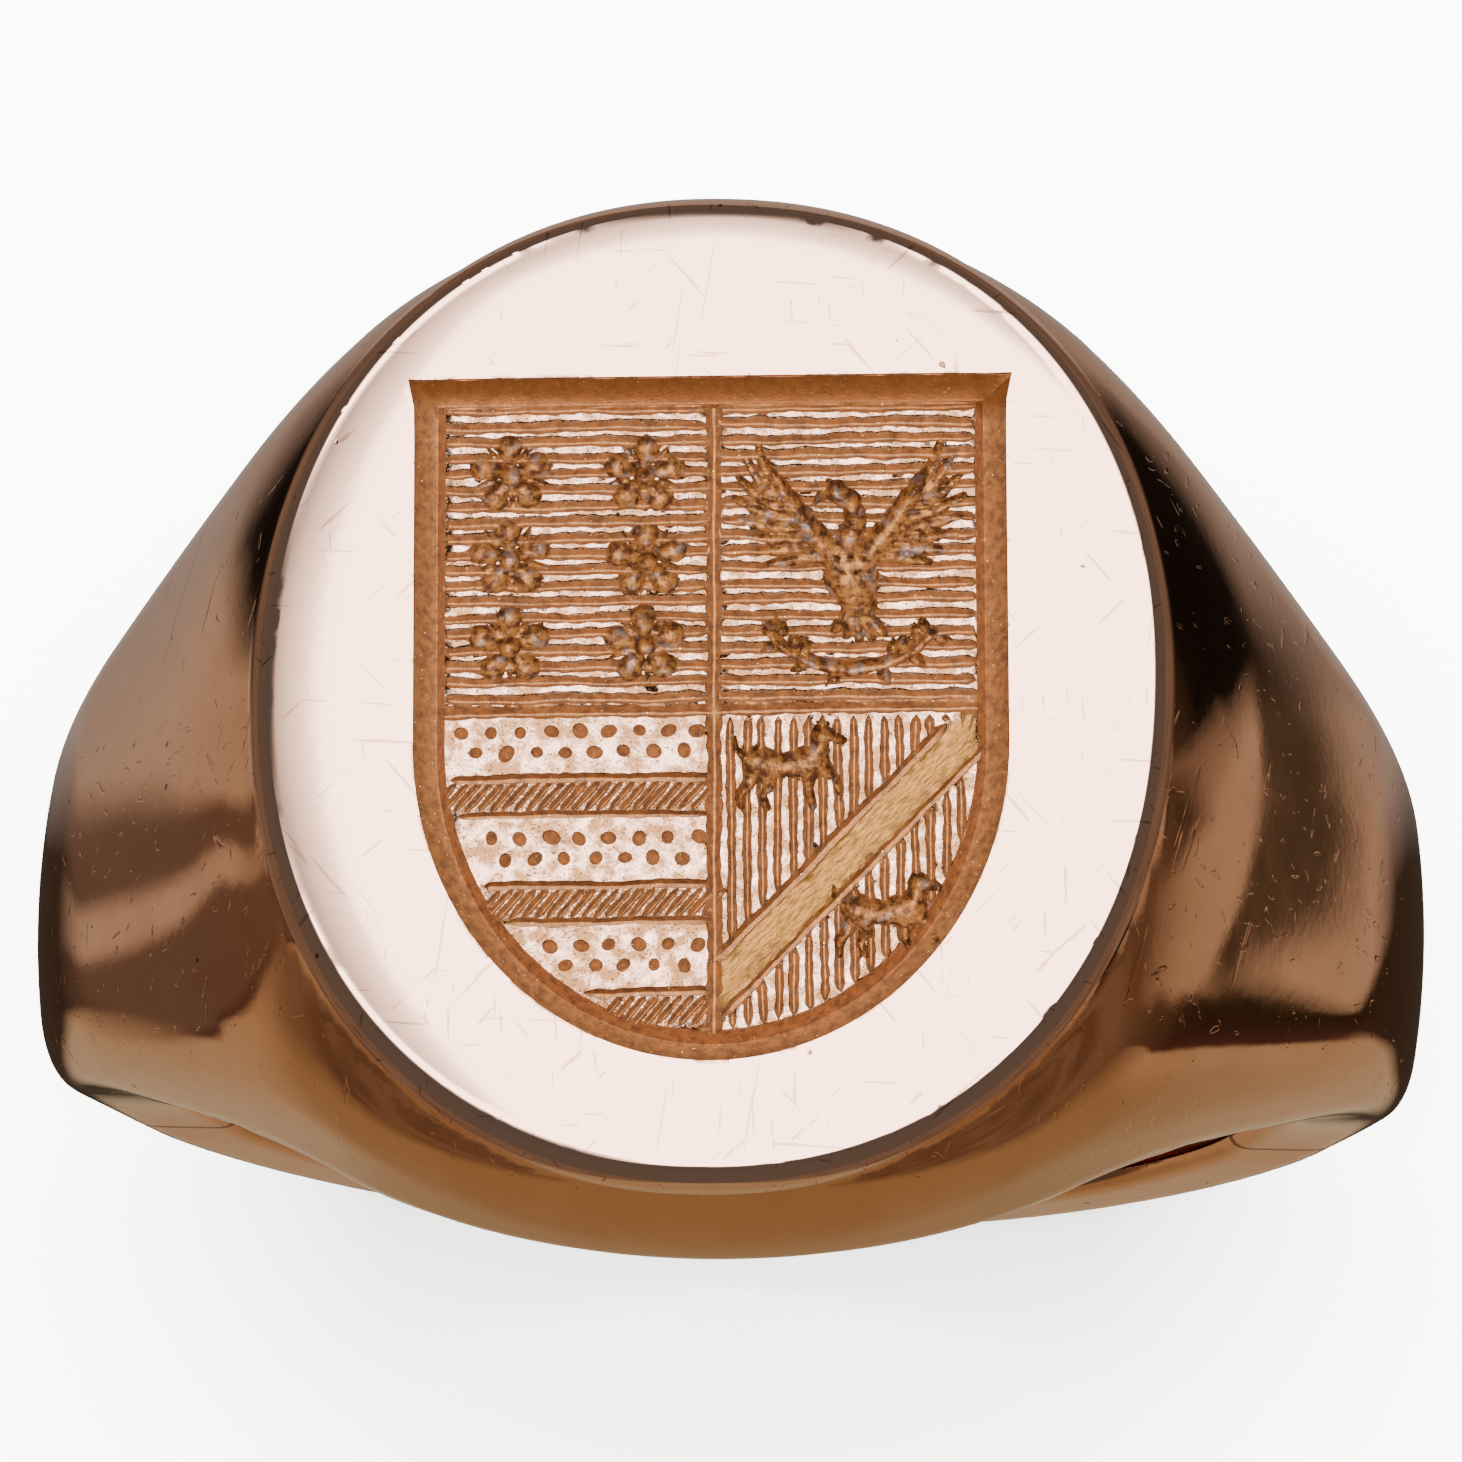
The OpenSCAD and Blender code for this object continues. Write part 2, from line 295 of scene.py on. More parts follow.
def band_points(s):
    """Points of the band's skin, one closed section for each station round the finger."""
    side_r = BORE_R + s.side_wall
    even = np.linspace(0, 2 * math.pi, STATIONS, endpoint=False)
    angles = even - 0.25 * np.sin(even)    # the stations lie closer together under the table
    # each ray starts at a share of the core's half width and has a turn from straight outwards
    rays = [(-1 + 2 * (i + 0.5) / CROWN_POINTS, 0.0) for i in range(CROWN_POINTS)]
    rays += [(1.0, math.pi * (i + 0.5) / FAN_POINTS) for i in range(FAN_POINTS)]
    rays += [(1 - 2 * (i + 0.5) / BORE_POINTS, math.pi) for i in range(BORE_POINTS)]
    rays += [(-1.0, -math.pi + math.pi * (i + 0.5) / FAN_POINTS) for i in range(FAN_POINTS)]
    place = np.array([r[0] for r in rays])[None, :]
    turn = np.array([r[1] for r in rays])[None, :]
    phi = angles[:, None]
    sin_p, cos_p = np.sin(phi), np.cos(phi)
    reach = np.where(cos_p > 0.2, (TABLE_Z + SPARE_TOP) / np.maximum(cos_p, 0.2), 99)
    steep = math.radians(68)
    near = np.abs((phi + math.pi) % (2 * math.pi) - math.pi)
    side = np.where(near < steep, side_r / np.maximum(np.cos(near - steep), 0.2), side_r)
    outer = np.minimum(reach, side)
    core = BORE_R + np.minimum(0.45 * (outer - BORE_R), 1.3)
    core_x, core_z = core * sin_p, core * cos_p
    half = np.minimum(plan_half(np.abs(core_x), s), side_half(core_z, s))
    core_y = np.maximum(half - 1.0, 0.3 * half)
    start_y = place * core_y
    dir_r, dir_y = np.cos(turn), np.sin(turn)
    # halve each ray between metal and air until its end lies on the skin
    near_t = np.zeros_like(start_y + dir_r)
    far_t = np.full_like(near_t, 9.0)
    for _ in range(40):
        mid = (near_t + far_t) / 2
        r = core + dir_r * mid
        y = start_y + dir_y * mid
        inside = band_field(r * sin_p, y, r * cos_p, s) < 0
        near_t = np.where(inside, mid, near_t)
        far_t = np.where(inside, far_t, mid)
    r = core + dir_r * near_t
    y = start_y + dir_y * near_t
    return np.stack([r * sin_p, y, r * cos_p], axis=2)


def make_band(s):
    """The whole band in millimetres: a ring primitive whose sections are drawn out to the form."""
    count = CROWN_POINTS + 2 * FAN_POINTS + BORE_POINTS
    only()
    bpy.ops.mesh.primitive_torus_add(major_segments=STATIONS, minor_segments=count,
                                     major_radius=10, minor_radius=1)
    piece = bpy.context.object
    points = band_points(s).reshape(-1, 3)
    piece.data.vertices.foreach_set("co", points.astype(np.float32).ravel())
    piece.data.update()
    edit_whole(piece, bpy.ops.mesh.normals_make_consistent, inside=False)
    return piece


def finish_piece(piece, name, material, node, angle=40):
    """Names a piece modelled in millimetres, gives it its metal and real size, and ties it to the frame."""
    piece.name = name
    piece.data.name = name
    piece.data.materials.clear()
    piece.data.materials.append(material)
    only(piece)
    bpy.ops.object.shade_smooth_by_angle(angle=math.radians(angle))
    piece.data.transform(Matrix.Scale(MM, 4))
    piece.data.update()
    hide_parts(node)
    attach(piece, "root")


# ---------------------------------------------------------------- engraving

class Engraving:
    """The cuts of the graver: lines to follow in the mesh, and a depth at every point."""

    def __init__(self, seed):
        self.points = []
        self.edges = []
        self.cuts = []
        self.random = random.Random(seed)

    def line(self, path, closed=False):
        first = len(self.points)
        self.points += [tuple(p) for p in path]
        n = len(path)
        self.edges += [(first + i, first + i + 1) for i in range(n - 1)]
        if closed:
            self.edges.append((first + n - 1, first))

    def groove(self, start, end, width, depth, taper=0.25, wander=0.012, step=0.09, flat=0.4):
        """One long stroke of the graver, thin at its ends, with a slight wander."""
        r = self.random
        start, end = np.array(start, float), np.array(end, float)
        length = float(np.hypot(*(end - start)))
        if length < 0.12:
            return
        along = (end - start) / length
        across = np.array([-along[1], along[0]])
        waves = [(wander * r.uniform(0.5, 1), r.uniform(1.2, 3.2), r.uniform(0, 6.28)),
                 (wander * 0.5, r.uniform(5, 9), r.uniform(0, 6.28))]
        swell = [(0.10, r.uniform(2, 5), r.uniform(0, 6.28)), (0.09, r.uniform(14, 24), r.uniform(0, 6.28)),
                 (0.06, r.uniform(40, 60), r.uniform(0, 6.28))]
        ends = (min(taper * r.uniform(0.6, 1.4), length / 2), min(taper * r.uniform(0.6, 1.4), length / 2))
        width = width * r.uniform(0.9, 1.1)

        def shape(t):
            side = sum(a * np.sin(k * t + p) for a, k, p in waves)
            grow = 1 + sum(a * np.sin(k * t + p) for a, k, p in swell)
            tip = np.clip(np.minimum(t / ends[0], (length - t) / ends[1]), 0, 1) ** 0.6
            return side, width / 2 * grow * tip, tip

        def cut(x, y):
            dx, dy = x - start[0], y - start[1]
            t = dx * along[0] + dy * along[1]
            s = dx * across[0] + dy * across[1]
            side, half, tip = shape(np.clip(t, 0, length))
            q = np.abs(s - side) / np.maximum(half, 1e-5)
            wall = np.clip((1 - q) / (1 - flat), 0, 1)
            return np.where((t > 0) & (t < length), depth * tip * wall, 0)

        reach = width + wander * 2
        low = np.minimum(start, end) - reach
        high = np.maximum(start, end) + reach
        self.cuts.append((low, high, cut))
        n = max(3, int(length / step))
        t = np.linspace(0, length, n + 1)
        side, half, _ = shape(t)
        for k in (-1, -flat, flat, 1):
            path = start + np.outer(t, along) + np.outer(side + half * k, across)
            self.line(path if abs(k) == 1 else path[1:-1])

    def dot(self, x, y, radius, depth):
        """A round pit from a turned point."""
        r = self.random
        radius *= r.uniform(0.85, 1.12)
        lean, stretch = r.uniform(0, 3.14), r.uniform(1.0, 1.25)

        def cut(px, py):
            dx, dy = px - x, py - y
            u = dx * math.cos(lean) + dy * math.sin(lean)
            v = -dx * math.sin(lean) + dy * math.cos(lean)
            q = np.hypot(u / stretch, v * 1.05) / radius
            return depth * np.clip(1 - q, 0, 1) ** 0.6

        self.cuts.append((np.array([x, y]) - 2 * radius, np.array([x, y]) + 2 * radius, cut))
        for ring, n in ((1.0, 12), (0.6, 8)):
            path = []
            for i in range(n):
                a = 2 * math.pi * i / n
                u, v = math.cos(a) * radius * ring * stretch, math.sin(a) * radius * ring / 1.05
                path.append((x + u * math.cos(lean) - v * math.sin(lean),
                             y + u * math.sin(lean) + v * math.cos(lean)))
            self.line(path, closed=True)
        self.points.append((x, y))

    def stroke(self, a, b, ra, rb, depth, flat=0.5):
        """A rounded gouge from a to b, part of a charge."""
        a, b = np.array(a, float), np.array(b, float)
        length = float(np.hypot(*(b - a))) or 1e-6
        along = (b - a) / length
        across = np.array([-along[1], along[0]])

        def cut(x, y):
            dx, dy = x - a[0], y - a[1]
            t = np.clip(dx * along[0] + dy * along[1], 0, length)
            radius = ra + (rb - ra) * t / length
            q = np.hypot(dx - t * along[0], dy - t * along[1]) / radius
            return depth * np.clip(1 - q * q, 0, 1) ** flat * (0.55 + 0.45 * radius / max(ra, rb))

        reach = max(ra, rb) + 0.01
        self.cuts.append((np.minimum(a, b) - reach, np.maximum(a, b) + reach, cut))
        path = []
        for i in range(8):
            t = math.pi / 2 + math.pi * i / 7
            path.append(a + ra * (math.cos(t) * along + math.sin(t) * across))
        for i in range(8):
            t = -math.pi / 2 + math.pi * i / 7
            path.append(b + rb * (math.cos(t) * along + math.sin(t) * across))
        self.line(path, closed=True)

    def chain(self, points, radii, depth, flat=0.5):
        """A run of strokes through several points."""
        for i in range(len(points) - 1):
            self.stroke(points[i], points[i + 1], radii[i], radii[i + 1], depth, flat)

    def fill(self, low, high, step):
        """Close points in a region, for a rounded charge."""
        rows = int((high[1] - low[1]) / (step * 0.866))
        for j in range(rows + 1):
            y = low[1] + j * step * 0.866
            x = low[0] + (step / 2 if j % 2 else 0)
            while x < high[0]:
                self.points.append((x, y))
                x += step

    def depth(self, x, y, first=0):
        """Depth of the deepest cut at each point, over the cuts from the first one named."""
        deep = np.zeros_like(x)
        for low, high, cut in self.cuts[first:]:
            near = (x > low[0]) & (x < high[0]) & (y > low[1]) & (y < high[1])
            if near.any():
                deep[near] = np.maximum(deep[near], cut(x[near], y[near]))
        return deep


SIDE_SHARE = 0.54    # share of the shield's height with straight sides


def arch(v, margin):
    """Half width, depth of the round foot and height where it starts, of the shield inside a margin."""
    foot_top = v.top - v.height * SIDE_SHARE
    return v.width / 2 - margin, v.height - (v.top - foot_top) - margin, foot_top


def shield_outline(v, margin, n=56):
    """Outline of the shield, moved in by a margin, with small flicked corners at the top."""
    a, b, side_end = arch(v, margin)
    top = v.top - margin
    ear = 0.1 if margin < 0.05 else 0.0
    right = []
    for i in range(14):
        t = i / 13
        y = top + (side_end - top) * t
        right.append((a + ear * math.exp(-(top - y) * 5), y))
    arc = [(a * math.cos(math.pi * i / n), side_end - b * math.sin(math.pi * i / n)) for i in range(1, n)]
    left = [(-x, y) for x, y in reversed(right)]
    across = [(-a + 2 * a * i / 30, top - ear * 0.4 * math.exp(-min(i, 30 - i) * 1.2))
              for i in range(1, 30)]
    return right + arc + left + across


def inside_outline(x, y, outline):
    """Whether each point lies inside a closed outline."""
    inside = np.zeros(len(x), bool)
    n = len(outline)
    for i in range(n):
        x0, y0 = outline[i]
        x1, y1 = outline[(i + 1) % n]
        if y0 == y1:
            continue
        crosses = (y0 > y) != (y1 > y)
        inside ^= crosses & (x < (x1 - x0) * (y - y0) / (y1 - y0) + x0)
    return inside


def outline_gap(x, y, outline):
    """Distance from each point to a closed outline."""
    gap = np.full(len(x), 99.0)
    n = len(outline)
    for i in range(n):
        p, q = np.array(outline[i]), np.array(outline[(i + 1) % n])
        d = q - p
        size = max(float(d @ d), 1e-9)
        t = np.clip(((x - p[0]) * d[0] + (y - p[1]) * d[1]) / size, 0, 1)
        gap = np.minimum(gap, np.hypot(x - p[0] - t * d[0], y - p[1] - t * d[1]))
    return gap


# profile of the channel round the shield, as shares of its width and depth
BORDER = [(0.0, 0.0), (0.04, 0.14), (0.66, 0.97), (0.73, 1.0), (0.94, 0.2), (1.0, 0.0)]


def cut_border(e, v):
    """The channel round the shield: a long outer wall, a narrow floor and a steep inner wall."""
    outline = shield_outline(v, 0)
    for share, _ in BORDER:
        e.line(shield_outline(v, share * v.border_w), closed=True)
    steps = np.array([p[0] for p in BORDER]) * v.border_w
    depths = np.array([p[1] for p in BORDER]) * v.border_depth

    def cut(x, y):
        gap = outline_gap(x, y, outline)
        return np.where(inside_outline(x, y, outline), np.interp(gap, steps, depths, right=0), 0)

    half = v.width / 2 + 0.2
    e.cuts.append((np.array([-half, v.top - v.height - 0.2]), np.array([half, v.top + 0.2]), cut))


def chord(v, margin, y):
    """Half width of the shield at a height, inside a margin."""
    a, b, side_end = arch(v, margin)
    return a if y >= side_end else a * math.sqrt(max(0.0, 1 - ((side_end - y) / b) ** 2))


def foot(v, margin, x):
    """Lowest height inside the shield at a distance from its middle."""
    a, b, side_end = arch(v, margin)
    return side_end - b * math.sqrt(max(0.0, 1 - (x / a) ** 2))


def cut_divisions(e, v):
    """Upright and cross line that quarter the shield."""
    m = v.border_w * 0.8
    e.groove((0.06, v.top - m), (0.04, foot(v, m, 0)), 0.23, 0.15, taper=0.02, wander=0.008, flat=0.15)
    e.groove((-chord(v, m, v.cross_y), v.cross_y), (chord(v, m, v.cross_y), v.cross_y + 0.04),
             0.23, 0.15, taper=0.02, wander=0.01, flat=0.15)


def cut_level_lines(e, v):
    """Level lines of the two upper quarters."""
    top = v.top - v.border_w - 0.05
    rows = int((top - v.cross_y - 0.12) / v.hatch_pitch)
    for i in range(rows + 1):
        y = top - i * v.hatch_pitch
        half = chord(v, v.border_w, y)
        for x0, x1 in ((-half - 0.06, 0.02), (0.08, half + 0.06)):
            r = e.random
            e.groove((x0 + r.uniform(-0.06, 0.03), y + r.uniform(-0.02, 0.02)),
                     (x1 + r.uniform(-0.03, 0.06), y + r.uniform(-0.02, 0.02)),
                     0.2, 0.1, taper=0.14, wander=0.016, flat=0.16)


def cut_roses(e, v):
    """Six five-petalled roses in the first quarter."""
    inner_w = v.width / 2 - v.border_w
    mid = ((-inner_w) / 2, (v.top - v.border_w + v.cross_y) / 2)
    for ix in (-0.5, 0.5):
        for iy in (-1, 0, 1):
            cx = mid[0] + ix * 2.1 + e.random.uniform(-0.03, 0.03)
            cy = mid[1] + iy * 1.42 + e.random.uniform(-0.03, 0.03)
            e.fill((cx - 0.7, cy - 0.7), (cx + 0.7, cy + 0.7), 0.05)
            lean = e.random.uniform(-0.08, 0.08)
            for k in range(5):
                t = math.pi / 2 + 2 * math.pi * k / 5 + lean
                c, s = math.cos(t), math.sin(t)
                e.stroke((cx + 0.27 * c, cy + 0.27 * s), (cx + 0.44 * c, cy + 0.44 * s), 0.14, 0.22, 0.19,
                         0.4)
                t += math.pi / 5
                c, s = math.cos(t), math.sin(t)
                e.stroke((cx + 0.3 * c, cy + 0.3 * s), (cx + 0.6 * c, cy + 0.6 * s), 0.07, 0.02, 0.1)
            e.stroke((cx - 0.01, cy), (cx + 0.01, cy), 0.17, 0.17, 0.26, 0.35)


def cut_bird(e):
    """A bird rising with spread wings over a leafy branch, in the second quarter."""
    e.fill((0.4, -0.3), (4.0, 4.1), 0.052)
    middle = 2.18

    def at(side, x, y):
        return (middle + side * x, y)

    # wings: long quills first, then the short rounded feathers over their roots
    roots = [(1.08, 3.15), (1.04, 3.0), (0.98, 2.84), (0.9, 2.68), (0.8, 2.52), (0.68, 2.38), (0.55, 2.26),
             (0.42, 2.16)]
    tips = [(1.44, 3.98), (1.62, 3.7), (1.74, 3.38), (1.8, 3.05), (1.78, 2.72), (1.68, 2.42), (1.5, 2.16),
            (1.26, 1.94)]
    for side in (-1, 1):
        for k, (root, tip) in enumerate(zip(roots, tips)):
            bow = ((root[0] + tip[0]) / 2 + 0.05, (root[1] + tip[1]) / 2 - 0.04)
            e.chain([at(side, *root), at(side, *bow), at(side, *tip)], [0.13, 0.12, 0.05],
                    0.15 + 0.012 * (k % 2))
        for k in range(7):
            t = k / 6
            e.stroke(at(side, 0.32 + 0.72 * t, 2.06 + 1.0 * t), at(side, 0.72 + 0.62 * t, 2.02 + 1.06 * t),
                     0.13, 0.08, 0.21, 0.6)
        e.chain([at(side, 0.16, 1.95), at(side, 0.6, 2.5), at(side, 0.98, 3.1), at(side, 1.2, 3.5)],
                [0.24, 0.2, 0.15, 0.07], 0.26)
    # breast, curved neck and head, with feathers down the breast
    e.chain([at(1, 0.14, 1.28), at(1, 0.02, 1.7), at(-1, 0.06, 2.15)], [0.3, 0.44, 0.32], 0.29)
    e.chain([at(-1, 0.06, 2.2), at(1, 0.1, 2.62), at(1, 0.04, 2.98), at(-1, 0.2, 3.14)],
            [0.26, 0.18, 0.16, 0.19], 0.26)
    e.chain([at(-1, 0.28, 3.14), at(-1, 0.46, 3.06), at(-1, 0.6, 2.9)], [0.11, 0.07, 0.02], 0.2)
    for row in range(4):
        for k in range(-1, 2):
            x = 0.2 * k + (0.1 if row % 2 else 0)
            e.stroke(at(1, x, 2.1 - row * 0.24), at(1, x, 2.02 - row * 0.24), 0.08, 0.05,
                     0.32 - 0.02 * abs(k), 0.7)
    for x, y in ((-0.34, 0.84), (-0.16, 0.72), (0.04, 0.66), (0.24, 0.68), (0.42, 0.76)):
        e.stroke(at(1, 0.1, 1.3), at(1, 0.1 + x, y), 0.13, 0.08, 0.2, 0.6)
    # branch with leaves
    stem = [(0.86, 0.84), (1.2, 0.5), (1.66, 0.26), (2.18, 0.17), (2.7, 0.25), (3.16, 0.48), (3.5, 0.8)]
    e.chain(stem, [0.07, 0.1, 0.12, 0.13, 0.12, 0.1, 0.07], 0.2)
    for k, (x, y) in enumerate(stem[:-1]):
        nx, ny = stem[k + 1]
        for part, up in ((0.25, 1), (0.75, -1), (0.6, 1)):
            if up > 0 and 1.7 < x + (nx - x) * part < 2.75:
                continue
            px, py = x + (nx - x) * part, y + (ny - y) * part
            lean = math.atan2(ny - y, nx - x) + up * (1.0 if px > 2.18 else 2.1)
            c, n = math.cos(lean), math.sin(lean)
            e.chain([(px, py), (px + 0.2 * c, py + 0.2 * n), (px + 0.36 * c, py + 0.36 * n)],
                    [0.04, 0.11, 0.02], 0.18)


def cut_bars(e, v):
    """Rows of dots and hatched bars in the third quarter."""
    r = e.random
    inner = v.border_w + 0.02
    bar_w, bar_gap, hatch_pitch, ground_depth = 0.6, 1.76, 0.185, 0.018
    first = v.cross_y - bar_w - 0.8
    for k in range(3):
        y = first - k * bar_gap
        for s in (-0.5, 0.5):
            edge = y + s * bar_w
            half = chord(v, inner, edge)
            e.groove((-half + 0.03, edge), (0.0, edge + 0.01), 0.14, 0.12, taper=0.15, wander=0.012)
        x = -chord(v, 0.15, y - bar_w * 0.42)
        while x < -0.16:
            e.groove((x + r.uniform(-0.02, 0.02), y - bar_w * 0.42), (x + 0.44, y + bar_w * 0.44),
                     0.115, 0.11, taper=0.12, wander=0.006, step=0.08, flat=0.1)
            x += hatch_pitch
    outline = shield_outline(v, v.border_w * 0.8)

    def ground(x, y):
        row = np.abs((first - y + bar_gap / 2) % bar_gap - bar_gap / 2)
        return np.where((row < bar_w / 2) & (x < 0) & inside_outline(x, y, outline), ground_depth, 0)

    e.cuts.append((np.array([-v.width / 2, -6.4]), np.array([0, first + bar_w]), ground))
    for k in range(3):
        middle = v.cross_y - 0.5 - k * bar_gap
        for row in (0, 1):
            y = middle + (-0.17 if row else 0.17)
            half = chord(v, inner + 0.12, y - 0.1)
            x = -0.2 - (v.dot_pitch / 2 if row else 0.0)
            while x > -half:
                if x < -0.12:
                    e.dot(x + r.uniform(-0.02, 0.02), y + r.uniform(-0.02, 0.02), 0.115, 0.14)
                x -= v.dot_pitch


# the bend: its middle in mm, its lean and its width
BEND_MID = (2.22, -2.82)
BEND_TURN = math.radians(46.8)
BEND_W = 0.8
BEND_DEPTH = 0.06


def bend_side(x, y):
    """Distance across the bend from its middle line."""
    return -(x - BEND_MID[0]) * math.sin(BEND_TURN) + (y - BEND_MID[1]) * math.cos(BEND_TURN)


def cut_bend(e, v):
    """A smooth, sunk bend with a groove on each side, in the fourth quarter."""
    c, n = math.cos(BEND_TURN), math.sin(BEND_TURN)

    def at(t, side):
        return (BEND_MID[0] + t * c - side * n, BEND_MID[1] + t * n + side * c)

    half = BEND_W / 2
    outline = shield_outline(v, v.border_w * 0.9)
    e.groove(at(-2.85, half - 0.06), at(2.5, half - 0.06), 0.2, 0.15, taper=0.25, wander=0.01)
    e.groove(at(-3.5, -half + 0.05), at(3.0, -half + 0.05), 0.16, 0.14, taper=0.25, wander=0.01)
    # lines for the mesh along the sunk strip
    for side, low, high, count in ((half - 0.13, -2.72, 2.55, 50), (-half + 0.11, -2.78, 2.8, 50),
                                   (-0.12, -2.7, 2.6, 44), (0.0, -2.7, 2.6, 44), (0.12, -2.7, 2.6, 44)):
        e.line([at(t, side) for t in np.linspace(low, high, count)])

    def cut(x, y):
        across = bend_side(x, y)
        field = np.clip((half - 0.1 - np.abs(across)) / 0.04, 0, 1) * BEND_DEPTH
        inside = (x > 0.05) & (y < v.cross_y) & inside_outline(x, y, outline)
        return np.where(inside, field, 0)

    inner = v.width / 2 - v.border_w
    e.cuts.append((np.array([0.1, -6.0]), np.array([inner, v.cross_y]), cut))


def cut_upright_lines(e, v):
    """Upright lines of the fourth quarter, above and below the bend."""
    r = e.random
    x = 0.32
    while x < v.width / 2 - v.border_w - 0.1:
        low = foot(v, v.border_w - 0.02, x)
        mid = BEND_MID[1] + (x - BEND_MID[0]) * math.tan(BEND_TURN)
        gap = BEND_W / 2 / math.cos(BEND_TURN)
        spans = []
        if mid + gap < v.cross_y - 0.2:
            spans.append((v.cross_y - 0.1, max(mid + gap - 0.04, low)))
        if mid - gap > low + 0.15:
            spans.append((min(mid - gap + 0.02, v.cross_y - 0.15), low))
        for start, end in spans:
            e.groove((x + r.uniform(-0.02, 0.02), start), (x, end),
                     0.15, 0.095, taper=0.16, wander=0.008, flat=0.15)
        x += v.pale_pitch


def cut_hound(e, cx, cy, size):
    """One hound, stepping out with its head up."""
    def at(*points):
        return [(cx + size * x, cy + size * y) for x, y in points]

    e.fill((cx - 1.05, cy - 0.9), (cx + 1.1, cy + 0.95), 0.048)
    e.chain(at((-0.55, 0.12), (-0.12, 0.04), (0.36, 0.12)), [0.26, 0.2, 0.29], 0.25)
    e.chain(at((0.42, 0.2), (0.52, 0.5)), [0.2, 0.14], 0.24)
    e.chain(at((0.54, 0.6), (0.74, 0.56), (0.9, 0.48)), [0.16, 0.1, 0.06], 0.22)
    e.chain(at((0.46, 0.72), (0.4, 0.56)), [0.06, 0.07], 0.24)
    e.chain(at((0.5, 0.0), (0.74, -0.14), (0.82, -0.42)), [0.14, 0.08, 0.065], 0.2)
    e.chain(at((0.3, 0.0), (0.3, -0.38), (0.38, -0.7)), [0.16, 0.08, 0.065], 0.21)
    e.chain(at((-0.6, 0.04), (-0.7, -0.26), (-0.86, -0.44), (-0.84, -0.68)), [0.22, 0.11, 0.07, 0.065],
            0.21)
    e.chain(at((-0.42, 0.0), (-0.36, -0.3), (-0.48, -0.48), (-0.4, -0.72)), [0.2, 0.1, 0.065, 0.065], 0.2)
    e.chain(at((-0.74, 0.2), (-0.92, 0.34), (-0.94, 0.56)), [0.08, 0.05, 0.025], 0.16)


TABLE_FALL, RIM_FALL = 0.008, 0.02    # mm that the table falls towards its rim, and more close to it
NO_CUT = -0.2                         # value of the attribute "cut" outside the shield


